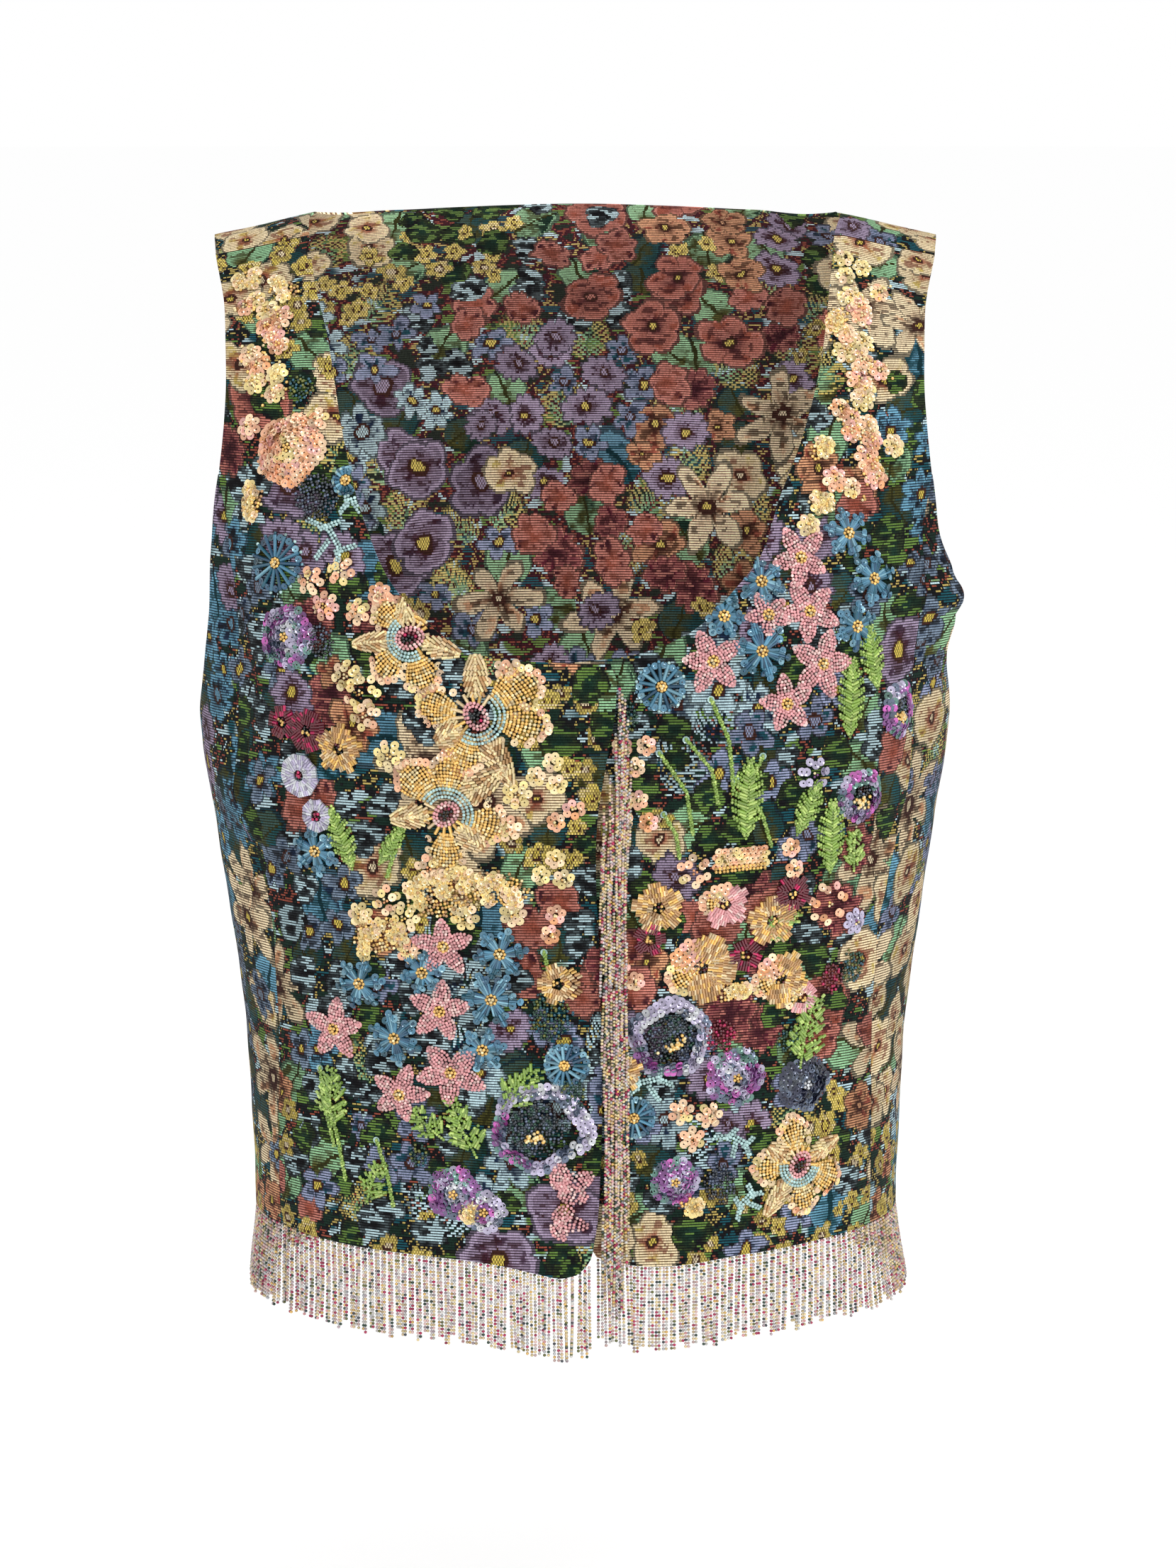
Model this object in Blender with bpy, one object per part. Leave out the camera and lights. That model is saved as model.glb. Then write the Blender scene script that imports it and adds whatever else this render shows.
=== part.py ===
"""A sleeveless waistcoat of flowered tapestry cloth, filled out as when worn, with bead fringe.

Metres, +Z up, the front faces -Y. The origin lies between the shoulders, at the height of the straps.
Each piece is modelled flat, as a pattern with its thickness, and is then wrapped on the body's form.
Flat X is the turn round the body times REACH, flat Y is the way down from the shoulder ridge, negative,
and flat Z is how far a point stands out from the form.
"""

import bmesh
import bpy
import numpy as np
from mathutils import Vector
from mathutils.geometry import delaunay_2d_cdt

# The worn form, one row a level: way down from the shoulder ridge, half width, depth in front, depth behind.
FORM = np.array([
    # down, half, front, behind
    (0.000, 0.188, 0.000, 0.000),
    (0.003, 0.188, 0.011, 0.013),
    (0.010, 0.188, 0.020, 0.025),
    (0.024, 0.188, 0.034, 0.044),
    (0.046, 0.188, 0.053, 0.067),
    (0.076, 0.187, 0.077, 0.085),
    (0.110, 0.186, 0.099, 0.097),
    (0.150, 0.183, 0.114, 0.104),
    (0.193, 0.181, 0.123, 0.108),
    (0.239, 0.178, 0.126, 0.108),
    (0.291, 0.171, 0.122, 0.104),
    (0.339, 0.164, 0.117, 0.100),
    (0.384, 0.159, 0.113, 0.096),
    (0.430, 0.156, 0.110, 0.093),
    (0.480, 0.155, 0.108, 0.091),
    (0.560, 0.155, 0.108, 0.091),
])
DOWN, HALF, FRONT, BEHIND = range(4)
ROUNDNESS = 2.4
RIDGE_HEIGHT = 0.003
REACH = 0.19

SHOULDER_START = 0.125
SHOULDER_SLOPE = 0.22
SHOULDER_FADE = 0.05
NECK_HOLLOW = 0.046
NECK_HALF = 0.132
NECK_RISE = 0.0045
NECK_RISE_FADE = 0.06

WALL = 0.0016
LAP = 0.0025
LAP_START = 0.030
SEAM_GAP = 0.0003
CELL = 0.0195
EDGE_STEP = 0.0110

# Largest folds, one row a fold: side (-1 front, 1 back), its two ends, its height and its half breadth.
FOLDS = (
    # side, x0, z0, x1, z1, height, breadth
    (-1, -0.157, -0.165, -0.156, -0.250, -0.0040, 0.009),
    (-1, -0.164, -0.250, -0.122, -0.300, 0.0050, 0.010),
    (-1, -0.150, -0.272, -0.118, -0.312, -0.0025, 0.009),
    (-1, -0.128, -0.340, -0.130, -0.450, 0.0016, 0.012),
    (-1, -0.079, -0.215, -0.090, -0.250, 0.0035, 0.050),
    (-1, 0.079, -0.215, 0.090, -0.250, 0.0035, 0.050),
    (-1, 0.157, -0.185, 0.160, -0.270, -0.0030, 0.009),
    (-1, 0.170, -0.162, 0.170, -0.180, 0.0110, 0.013),
    (-1, 0.128, -0.340, 0.130, -0.450, 0.0016, 0.012),
    (1, -0.113, -0.111, -0.052, -0.211, -0.0045, 0.012),
    (1, -0.026, -0.006, 0.013, -0.034, -0.0030, 0.010),
    (1, 0.088, -0.004, 0.086, -0.030, 0.0022, 0.007),
    (1, 0.000, -0.190, 0.004, -0.420, -0.0018, 0.016),
)

# Edges as a maker would draw them, rows of distance from the centre front and way down from the ridge.
RIGHT_NECK = ((0.1245, 0.010), (0.1202, 0.034), (0.1158, 0.049), (0.1067, 0.0945), (0.0954, 0.137),
              (0.0846, 0.1606), (0.0654, 0.181), (0.0468, 0.1925), (0.0096, 0.1972), (-0.0160, 0.1980))
LEFT_NECK = ((0.1210, 0.010), (0.1180, 0.034), (0.1111, 0.075), (0.1039, 0.0986), (0.0929, 0.1256),
             (0.0846, 0.150), (0.0697, 0.168), (0.0565, 0.181), (0.0298, 0.193), (0.0000, 0.1970))
RIGHT_CENTRE = ((-0.0160, 0.1980), (-0.0187, 0.2050), (-0.0186, 0.2132), (-0.0138, 0.2443), (-0.0112, 0.2600),
                (-0.0117, 0.3500), (-0.0117, 0.4348), (-0.0091, 0.4678), (-0.0064, 0.4790), (-0.0005, 0.4850))
LEFT_CENTRE = ((0.0000, 0.1970), (0.0004, 0.2500), (0.0004, 0.3500), (0.0006, 0.4500), (0.0030, 0.4660),
               (0.0100, 0.4770))
RIGHT_HEM = ((-0.0005, 0.4850), (0.0060, 0.4866), (0.0139, 0.4852), (0.0297, 0.4817), (0.0717, 0.4780),
             (0.1049, 0.4765), (0.1400, 0.4735))
LEFT_HEM = ((0.0100, 0.4770), (0.0189, 0.4795), (0.0810, 0.4777), (0.1093, 0.4757), (0.1400, 0.4735))
SEAM = ((0.1400, 0.4735), (0.1390, 0.4200), (0.1385, 0.3760), (0.1395, 0.3490), (0.1425, 0.3150),
        (0.1500, 0.2850), (0.1565, 0.2580), (0.1582, 0.2257), (0.1578, 0.1850), (0.1590, 0.1580),
        (0.1612, 0.1370), (0.1652, 0.1180))
FRONT_ARMHOLE = ((0.1652, 0.1180), (0.1626, 0.0940), (0.1620, 0.0660), (0.1632, 0.0400), (0.1685, 0.0100))
# Below the seam's top the armhole is the back piece's: first in front, then behind the side.
LOWER_ARMHOLE_IN_FRONT = ((0.1652, 0.1180), (0.1676, 0.1370), (0.1692, 0.1580), (0.1712, 0.1850), (0.1748, 0.2150))
LOWER_ARMHOLE_BEHIND = ((0.1758, 0.2250), (0.1722, 0.1950), (0.1672, 0.1600), (0.1632, 0.1200), (0.1612, 0.0850),
                        (0.1620, 0.0500), (0.1655, 0.0220), (0.1688, 0.0050))
UNDERARM = 0.2395
HEM_BEHIND = 0.4715
BACK_NECK = 0.0018
BACK_NECK_CORNER = 0.1235
SHOULDER_SEAM = 0.0100
SHOULDER_TIP = 0.1685

STRAND = 0.0405
STRAND_VARIES = 0.0022
FLARE_LEFT = 0.0060
FLARE_RIGHT = 0.0035
STRAND_PITCH = 0.0041
STRAND_SHARE = 0.42
BAND = 0.0025
BAND_WALL = 0.0014
EDGE_BAND = 0.0014
EDGE_LIFT = LAP - 0.0001
EDGE_ROOT = 0.0055
EDGE_PITCH = 0.0080
EDGE_TOP = 0.2080
EDGE_BOTTOM = 0.4620
EDGE_DRIFT = 0.0110

COLOURS = {
    "tapestry": (0.135, 0.118, 0.085, 1.0),
    "hem_fringe": (0.62, 0.46, 0.38, 1.0),
    "edge_fringe": (0.60, 0.42, 0.36, 1.0),
}


def cubic(xs, ys, at):
    """A smooth curve through the rows (xs, ys), read at the places at."""
    xs, ys, at = np.asarray(xs, float), np.asarray(ys, float), np.asarray(at, float)
    slopes = np.gradient(ys, xs)
    row = np.clip(np.searchsorted(xs, at) - 1, 0, len(xs) - 2)
    step = xs[row + 1] - xs[row]
    part = np.clip((at - xs[row]) / step, 0, 1)
    return (
        ys[row] * (1 + 2 * part) * (1 - part) ** 2
        + ys[row + 1] * part**2 * (3 - 2 * part)
        + step * (slopes[row] * part * (1 - part) ** 2 - slopes[row + 1] * part**2 * (1 - part))
    )


def way_column():
    """The length of cloth from the ridge to each row of FORM, along a mean of its front and back."""
    depth = (FORM[:, FRONT] + FORM[:, BEHIND]) / 2
    return np.concatenate([[0], np.cumsum(np.hypot(np.diff(FORM[:, DOWN]), np.diff(depth)))])


WAY = way_column()


def way_of(down):
    """The length of cloth from the ridge to a level."""
    return cubic(FORM[:, DOWN], WAY, down)


def form_point(side, turn, way):
    """The point of the form at a turn from the centre of one side (-1 front, 1 back), way down the cloth."""
    level = np.abs(way)
    down, half, front, behind = (cubic(WAY, FORM[:, column], level) for column in range(4))
    across = np.sin(turn)
    along = np.cos(turn)
    x = half * np.sign(across) * np.abs(across) ** (2 / ROUNDNESS)
    facing = side * np.sign(along) * np.where(way < 0, -1, 1)
    depth = np.where(facing < 0, front, behind) * np.abs(along) ** (2 / ROUNDNESS)
    neck = np.where(facing > 0, np.clip(1 - (x / NECK_HALF) ** 2, 0, 1), 0)
    depth = np.cbrt(depth**3 + (NECK_HOLLOW * neck) ** 3)
    slope = SHOULDER_SLOPE * np.clip(np.abs(x) - SHOULDER_START, 0, None)
    z = RIDGE_HEIGHT - down - slope * np.exp(-((down / SHOULDER_FADE) ** 2))
    z += NECK_RISE * neck * np.exp(-((down / NECK_RISE_FADE) ** 2))
    return np.stack([x, facing * depth, z], -1)


def fold_height(points):
    """How far the folds move each point out of the form."""
    moved = np.zeros(len(points))
    for side, x0, z0, x1, z1, height, breadth in FOLDS:
        start, along = np.array((x0, z0)), np.array((x1 - x0, z1 - z0))
        away = points[:, (0, 2)] - start
        part = np.clip(away @ along / (along @ along), 0, 1)
        gap = np.linalg.norm(away - part[:, None] * along, axis=1)
        ends = 0.55 + 0.45 * np.sin(np.pi * part)
        moved += np.where(points[:, 1] * side > 0, height * ends * np.exp(-((gap / breadth) ** 2)), 0)
    return moved


def wrapped(side, flat):
    """Flat pattern points, rows of (turn * REACH, -way, height), laid on the body's form."""
    turn, way, height = flat[:, 0] / REACH, -flat[:, 1], flat[:, 2]
    tiny = 1e-4
    points = form_point(side, turn, way)
    across = form_point(side, turn + tiny, way) - form_point(side, turn - tiny, way)
    along = form_point(side, turn, way + tiny) - form_point(side, turn, way - tiny)
    out = np.cross(along, across) * -side
    out /= np.linalg.norm(out, axis=1, keepdims=True)
    return points + out * (height + fold_height(points))[:, None]


def turn_at(x, down):
    """The turn, from the centre of either side, of a point this far from the centre line."""
    half = cubic(FORM[:, DOWN], FORM[:, HALF], down)
    return np.sign(x) * np.arcsin(np.clip(np.abs(x) / half, 0, 1) ** (ROUNDNESS / 2))


def drawn(rows, mirror=1, beyond=False, shift=0.0):
    """Rows of (distance from the centre, level) as flat points, on the near side or beyond the side's turn."""
    rows = np.array(rows, float)
    turn = turn_at(rows[:, 0] + shift, rows[:, 1])
    if beyond:
        turn = np.pi - turn
    return np.stack([mirror * turn * REACH, -way_of(rows[:, 1])], -1)


def stepped(points, step):
    """A smooth curve through flat points, as points about one step apart, both ends kept."""
    lengths = np.concatenate([[0], np.cumsum(np.linalg.norm(np.diff(points, axis=0), axis=1))])
    count = max(int(round(lengths[-1] / step)), 1) + 1
    at = np.linspace(0, lengths[-1], count)
    return np.stack([cubic(lengths, points[:, 0], at), cubic(lengths, points[:, 1], at)], -1)


def outline_of(edges, step):
    """One closed outline from edges that meet end to end."""
    return np.concatenate([stepped(edge, step)[:-1] for edge in edges])


def inside(points, outline):
    """Which points lie in the outline."""
    x, y = points[:, 0, None], points[:, 1, None]
    x0, y0 = outline.T
    x1, y1 = np.roll(outline, -1, axis=0).T
    with np.errstate(divide="ignore", invalid="ignore"):
        crossing = ((y0 > y) != (y1 > y)) & (x < (x1 - x0) * (y - y0) / (y1 - y0) + x0)
    return crossing.sum(axis=1) % 2 == 1


def filled(outline, cell):
    """Points and triangles that fill the outline: its own points, and a lattice inside it."""
    low, high = outline.min(axis=0), outline.max(axis=0)
    columns = np.arange(low[0], high[0], cell)
    rows = np.arange(low[1], high[1], cell * 0.87)
    lattice = np.array([
        (x + (cell / 2 if number % 2 else 0), y) for number, y in enumerate(rows) for x in columns
    ])
    lattice = lattice[inside(lattice, outline)]
    gaps = np.linalg.norm(lattice[:, None] - outline[None], axis=2).min(axis=1)
    lattice = lattice[gaps > cell * 0.55]
    points = np.concatenate([outline, lattice])
    ring = list(range(len(outline)))
    found, _, faces, _, _, _ = delaunay_2d_cdt([Vector(point) for point in points], [], [ring], 1, 1e-7)
    return [tuple(point) for point in found], faces


def add_node(name, material, bm, side):
    """Wraps the flat solid on the form, and makes it an object."""
    bmesh.ops.recalc_face_normals(bm, faces=bm.faces)
    flat = np.array([vert.co for vert in bm.verts])
    for vert, place in zip(bm.verts, wrapped(side, flat)):
        vert.co = place
    if side > 0:
        bmesh.ops.reverse_faces(bm, faces=bm.faces)
    mesh = bpy.data.meshes.new(name)
    bm.to_mesh(mesh)
    bm.free()
    mesh.shade_smooth()
    mesh.set_sharp_from_angle(angle=0.9)
    mesh.materials.append(material)
    node = bpy.data.objects.new(name, mesh)
    bpy.context.collection.objects.link(node)
    return node


def cloth(name, material, side, outline, lift):
    """A panel: the filled outline, WALL thick, whose outer face stands lift(x) out of the form."""
    points, faces = filled(outline, CELL)
    bm = bmesh.new()
    verts = [bm.verts.new((x, y, 0)) for x, y in points]
    for face in faces:
        bm.faces.new([verts[index] for index in face])
    made = bmesh.ops.extrude_face_region(bm, geom=list(bm.faces), use_keep_orig=True)
    lower = [item for item in made["geom"] if isinstance(item, bmesh.types.BMVert)]
    bmesh.ops.translate(bm, verts=lower, vec=(0, 0, -WALL))
    for vert in bm.verts:
        vert.co.z += lift(vert.co.x)
    return add_node(name, material, bm, side)


def band(path, drop, wall):
    """A flat strip under a path of flat points, as a closed solid, with its lower faces in order."""
    bm = bmesh.new()
    corners = ((0, 0), (0, -wall), (-drop, -wall), (-drop, 0))
    rings = [[bm.verts.new((x, y + fall, z)) for fall, z in corners] for x, y in path]
    lower = []
    for ring, after in zip(rings, rings[1:]):
        for corner in range(4):
            following = (corner + 1) % 4
            face = bm.faces.new((ring[corner], ring[following], after[following], after[corner]))
            if corner == 2:
                lower.append(face)
    bm.faces.new(rings[0])
    bm.faces.new(reversed(rings[-1]))
    return bm, lower


def hem_fringe(name, material, side, hem, lift):
    """Strands that hang straight from a strip, which lies a seam's gap under the hem."""
    fine = stepped(hem, 0.001)
    worn = wrapped(side, np.column_stack([fine, np.zeros(len(fine))]))
    lengths = np.concatenate([[0], np.cumsum(np.linalg.norm(np.diff(worn, axis=0), axis=1))])
    count = int(lengths[-1] / STRAND_PITCH)
    marks = [0.0]
    for number in range(count):
        start = (number + 0.5 - STRAND_SHARE / 2) * lengths[-1] / count
        marks += [start, start + STRAND_SHARE * lengths[-1] / count]
    marks.append(lengths[-1])
    path = np.stack([np.interp(marks, lengths, fine[:, 0]), np.interp(marks, lengths, fine[:, 1]) - SEAM_GAP], -1)
    bm, lower = band(path, BAND, BAND_WALL)
    for number, root in enumerate(lower[1::2]):
        length = STRAND + STRAND_VARIES * np.sin(2.4 * number) * np.sin(0.83 * number + 1)
        grown = bmesh.ops.extrude_discrete_faces(bm, faces=[root])["faces"][0]
        across = grown.calc_center_median().x
        flare = (FLARE_LEFT if across > 0 else FLARE_RIGHT) * abs(np.sin(across / REACH)) ** 6
        bmesh.ops.translate(bm, verts=list(grown.verts), vec=(0, -length, flare))
    for vert in bm.verts:
        vert.co.z += lift(vert.co.x)
    return add_node(name, material, bm, side)


def edge_fringe(name, material, side, edge):
    """Strands from a strip along the overlapping front's centre edge, all at one slant so that none cross."""
    levels = edge[:, 1]
    top, bottom = -way_of(EDGE_TOP), -way_of(EDGE_BOTTOM)
    marks = []
    place = top
    while place - EDGE_PITCH > bottom:
        marks += [place, place - EDGE_ROOT]
        place -= EDGE_PITCH
    order = np.argsort(levels)
    xs = np.interp(marks, levels[order], edge[order, 0]) + SEAM_GAP
    bm = bmesh.new()
    corners = ((0, 0), (EDGE_BAND, 0), (EDGE_BAND, -EDGE_BAND), (0, -EDGE_BAND))
    rings = [
        [bm.verts.new((x + across, y, EDGE_LIFT + z)) for across, z in corners] for x, y in zip(xs, marks)
    ]
    roots = []
    for number, (ring, after) in enumerate(zip(rings, rings[1:])):
        for corner in range(4):
            following = (corner + 1) % 4
            face = bm.faces.new((ring[corner], ring[following], after[following], after[corner]))
            if corner == 1 and number % 2 == 0:
                roots.append(face)
    bm.faces.new(rings[0])
    bm.faces.new(reversed(rings[-1]))
    for root in roots:
        grown = bmesh.ops.extrude_discrete_faces(bm, faces=[root])["faces"][0]
        bmesh.ops.translate(bm, verts=list(grown.verts), vec=(EDGE_DRIFT, -STRAND, 0))
    return add_node(name, material, bm, side)


def material_of(name):
    """A plain Principled material in the colour that the cloth or beads have from a step away."""
    material = bpy.data.materials.new(name)
    material.use_nodes = True
    shader = material.node_tree.nodes["Principled BSDF"]
    shader.inputs["Base Color"].default_value = COLOURS[name]
    shader.inputs["Roughness"].default_value = 0.85 if name == "tapestry" else 0.3
    shader.inputs["Metallic"].default_value = 0.0
    return material


def lap_lift(x):
    """The overlapping front stands out over the other near the centre, and lies on the form elsewhere."""
    part = np.clip((x + LAP_START * 2) / LAP_START, 0, 1)
    return LAP * part * part * (3 - 2 * part)


def flat_lift(x):
    return 0.0


def front_outline(neck, centre, hem, mirror):
    """A front's outline, from the shoulder seam down the neck, and back up the side seam and the armhole."""
    shrunk = -SEAM_GAP / 2
    seam = drawn(SEAM, mirror, shift=shrunk)
    edges = [drawn(neck, mirror), drawn(centre, mirror), drawn(hem, mirror), seam, drawn(FRONT_ARMHOLE, mirror)]
    edges[2][-1] = seam[0]
    edges[4][0] = seam[-1]
    edges.append(np.array([edges[4][-1], edges[0][0]]))
    return outline_of(edges, EDGE_STEP)


def mirrored(points):
    """Flat points on the other side of the centre line, in the order that goes on round the outline."""
    return points[::-1] * (-1, 1)


def half_back(neck_corner):
    """The back's edges on +X, from the centre of the hem, round by the seam, up to the shoulder."""
    seam = drawn(SEAM, beyond=True, shift=SEAM_GAP / 2)
    hem = np.stack([np.linspace(0, seam[0][0], 9), np.linspace(-way_of(HEM_BEHIND), seam[0][1], 9)], -1)
    before = drawn(LOWER_ARMHOLE_IN_FRONT, beyond=True)
    behind = drawn(LOWER_ARMHOLE_BEHIND)
    lowest = np.array([[np.pi / 2 * REACH, -way_of(UNDERARM)]])
    armhole = np.concatenate([before, lowest, behind])
    armhole[0] = seam[-1]
    seam_end = way_of(SHOULDER_SEAM) - SEAM_GAP
    tip_x, neck_x = turn_at(SHOULDER_TIP, SHOULDER_SEAM) * REACH, turn_at(neck_corner, SHOULDER_SEAM) * REACH
    over = np.array([armhole[-1], [turn_at(SHOULDER_TIP + 0.0012, 0.0) * REACH, 0.0], [tip_x, seam_end]])
    shoulder = np.array([[tip_x, seam_end], [neck_x, seam_end]])
    inner = np.array([
        [neck_x, seam_end],
        [turn_at(BACK_NECK_CORNER, 0.0) * REACH, 0.0],
        [turn_at(BACK_NECK_CORNER - 0.010, 0.0) * REACH, -way_of(BACK_NECK)],
        [turn_at(BACK_NECK_CORNER - 0.040, 0.0) * REACH, -way_of(BACK_NECK * 1.3)],
        [0, -way_of(BACK_NECK)],
    ])
    return [hem, seam, armhole, over, shoulder, inner]


def back_outline():
    right_hand = half_back(LEFT_NECK[0][0])
    left_hand = half_back(RIGHT_NECK[0][0])
    return outline_of(right_hand + [mirrored(edge) for edge in reversed(left_hand)], EDGE_STEP)


def main():
    for thing in list(bpy.data.objects):
        bpy.data.objects.remove(thing)
    tapestry, hem_beads, edge_beads = (material_of(name) for name in COLOURS)
    cloth("front_right", tapestry, -1, front_outline(RIGHT_NECK, RIGHT_CENTRE, RIGHT_HEM, -1), lap_lift)
    cloth("front_left", tapestry, -1, front_outline(LEFT_NECK, LEFT_CENTRE, LEFT_HEM, 1), flat_lift)
    cloth("back", tapestry, 1, back_outline(), flat_lift)
    right_hem = drawn(RIGHT_HEM[1:], -1, shift=-SEAM_GAP / 2)
    left_hem = drawn(LEFT_HEM, 1, shift=-SEAM_GAP / 2)
    hem_fringe("fringe_front_right", hem_beads, -1, right_hem, lap_lift)
    hem_fringe("fringe_front_left", hem_beads, -1, left_hem, flat_lift)
    behind = half_back(LEFT_NECK[0][0])[0]
    around = np.concatenate([mirrored(behind), behind[1:]])
    hem_fringe("fringe_back", hem_beads, 1, around, flat_lift)
    edge_fringe("fringe_edge", edge_beads, -1, stepped(drawn(RIGHT_CENTRE, -1), 0.002))


main()
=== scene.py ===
"""The looks of a sleeveless tapestry waistcoat: woven flowers, bead and sequin embroidery, and bead fringe.

Metres, in the frame of the part. Each cloth piece is cut flat, as a pattern, and is then wrapped on the worn
form. Flat X is the turn round the form times REACH, flat Y is the way down from the shoulder ridge, negative,
and flat Z is how far a point stands out from the form. The sewn flowers are drawn in millimetres.
"""

import math

import bmesh
import bpy
import numpy as np
from mathutils import Euler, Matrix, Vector


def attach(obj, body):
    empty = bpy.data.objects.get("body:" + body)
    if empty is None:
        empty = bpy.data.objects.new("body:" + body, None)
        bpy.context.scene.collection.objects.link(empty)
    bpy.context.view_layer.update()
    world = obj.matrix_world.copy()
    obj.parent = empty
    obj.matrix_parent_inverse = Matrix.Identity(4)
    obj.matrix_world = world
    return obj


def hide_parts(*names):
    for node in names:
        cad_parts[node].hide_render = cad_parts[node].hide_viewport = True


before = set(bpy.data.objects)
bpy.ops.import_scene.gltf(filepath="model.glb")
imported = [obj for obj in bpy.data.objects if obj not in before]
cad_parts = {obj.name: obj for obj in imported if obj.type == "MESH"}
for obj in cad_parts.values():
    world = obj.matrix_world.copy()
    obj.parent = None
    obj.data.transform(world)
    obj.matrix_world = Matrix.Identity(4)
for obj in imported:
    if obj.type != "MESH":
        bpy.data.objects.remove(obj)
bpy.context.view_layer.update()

# The worn form, one row a level: way down from the shoulder ridge, half width, depth in front, depth behind.
FORM = np.array([
    # down, half, front, behind
    (0.000, 0.188, 0.000, 0.000),
    (0.003, 0.188, 0.011, 0.013),
    (0.010, 0.188, 0.020, 0.025),
    (0.024, 0.188, 0.034, 0.044),
    (0.046, 0.188, 0.053, 0.067),
    (0.076, 0.187, 0.077, 0.085),
    (0.110, 0.186, 0.099, 0.097),
    (0.150, 0.183, 0.114, 0.104),
    (0.193, 0.181, 0.123, 0.108),
    (0.239, 0.178, 0.126, 0.108),
    (0.291, 0.171, 0.122, 0.104),
    (0.339, 0.164, 0.117, 0.100),
    (0.384, 0.159, 0.113, 0.096),
    (0.430, 0.156, 0.110, 0.093),
    (0.480, 0.155, 0.108, 0.091),
    (0.560, 0.155, 0.108, 0.091),
])
DOWN, HALF, FRONT, BEHIND = range(4)
# How square the form's sections are, how high its ridge lies, and the flat length of one radian of turn.
ROUNDNESS = 2.4
RIDGE_HEIGHT = 0.003
REACH = 0.19

# How the shoulders slope, and how the back stands out and rises at the neck.
SHOULDER_START = 0.125
SHOULDER_SLOPE = 0.22
SHOULDER_FADE = 0.05
NECK_HOLLOW = 0.046
NECK_HALF = 0.132
NECK_RISE = 0.0045
NECK_RISE_FADE = 0.06

# The cloth: its wall, how far the overlapping front stands out and from where, and the gap at a seam.
WALL = 0.0013
LAP = 0.0025
LAP_START = 0.030
SEAM_GAP = 0.0003
# How finely it is divided: the cells of a piece, and the steps along its edge.
CELL = 0.0034
EDGE_STEP = 0.0030
# A small step, by which slopes on the form are measured.
TINY = 1e-4

# The folds of the solids, then the finer creases: side (-1 front, 1 back), two ends, height, half breadth.
FOLDS = (
    # side, x0, z0, x1, z1, height, breadth
    (-1, -0.157, -0.165, -0.156, -0.250, -0.0040, 0.009),
    (-1, -0.164, -0.250, -0.122, -0.300, 0.0050, 0.010),
    (-1, -0.150, -0.272, -0.118, -0.312, -0.0025, 0.009),
    (-1, -0.128, -0.340, -0.130, -0.450, 0.0016, 0.012),
    (-1, -0.079, -0.215, -0.090, -0.250, 0.0035, 0.050),
    (-1, 0.079, -0.215, 0.090, -0.250, 0.0035, 0.050),
    (-1, 0.157, -0.185, 0.160, -0.270, -0.0030, 0.009),
    (-1, 0.170, -0.162, 0.170, -0.180, 0.0110, 0.013),
    (-1, 0.128, -0.340, 0.130, -0.450, 0.0016, 0.012),
    (1, -0.113, -0.111, -0.052, -0.211, -0.0045, 0.012),
    (1, -0.026, -0.006, 0.013, -0.034, -0.0030, 0.010),
    (1, 0.088, -0.004, 0.086, -0.030, 0.0022, 0.007),
    (1, 0.000, -0.190, 0.004, -0.420, -0.0018, 0.016),
    (-1, -0.148, -0.170, -0.138, -0.235, 0.0012, 0.006),
    (-1, -0.153, -0.205, -0.128, -0.232, -0.0011, 0.005),
    (-1, -0.160, -0.268, -0.134, -0.292, 0.0014, 0.004),
    (-1, -0.140, -0.300, -0.118, -0.322, 0.0010, 0.005),
    (-1, 0.150, -0.200, 0.132, -0.262, 0.0012, 0.006),
    (-1, 0.162, -0.262, 0.126, -0.300, -0.0013, 0.006),
    (-1, 0.156, -0.296, 0.120, -0.330, 0.0010, 0.006),
    (-1, -0.145, -0.060, -0.128, -0.120, -0.0008, 0.007),
    (-1, 0.142, -0.060, 0.128, -0.125, -0.0008, 0.007),
    (1, -0.095, -0.125, -0.048, -0.190, 0.0020, 0.006),
    (1, -0.090, -0.060, -0.075, -0.130, -0.0012, 0.006),
    (1, 0.060, -0.090, 0.078, -0.150, -0.0010, 0.008),
    (1, -0.150, -0.250, -0.070, -0.300, 0.0016, 0.010),
    (1, 0.150, -0.250, 0.070, -0.305, 0.0016, 0.010),
    (1, -0.140, -0.330, -0.060, -0.345, -0.0012, 0.009),
    (1, 0.140, -0.330, 0.060, -0.350, -0.0012, 0.009),
)
# The slight unevenness of worn cloth.
RIPPLE = 0.00045

# Edges as a maker would draw them, rows of distance from the centre front and way down from the ridge.
RIGHT_NECK = ((0.1245, 0.010), (0.1202, 0.034), (0.1158, 0.049), (0.1067, 0.0945), (0.0954, 0.137),
              (0.0846, 0.1606), (0.0654, 0.181), (0.0468, 0.1925), (0.0096, 0.1972), (-0.0160, 0.1980))
LEFT_NECK = ((0.1210, 0.010), (0.1180, 0.034), (0.1111, 0.075), (0.1039, 0.0986), (0.0929, 0.1256),
             (0.0846, 0.150), (0.0697, 0.168), (0.0565, 0.181), (0.0298, 0.193), (0.0000, 0.1970))
RIGHT_CENTRE = ((-0.0160, 0.1980), (-0.0187, 0.2050), (-0.0186, 0.2132), (-0.0138, 0.2443), (-0.0112, 0.2600),
                (-0.0117, 0.3500), (-0.0117, 0.4348), (-0.0091, 0.4678), (-0.0064, 0.4790), (-0.0005, 0.4850))
LEFT_CENTRE = ((0.0000, 0.1970), (0.0004, 0.2500), (0.0004, 0.3500), (0.0006, 0.4500), (0.0030, 0.4660),
               (0.0100, 0.4770))
RIGHT_HEM = ((-0.0005, 0.4850), (0.0060, 0.4866), (0.0139, 0.4852), (0.0297, 0.4817), (0.0717, 0.4780),
             (0.1049, 0.4765), (0.1400, 0.4735))
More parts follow.
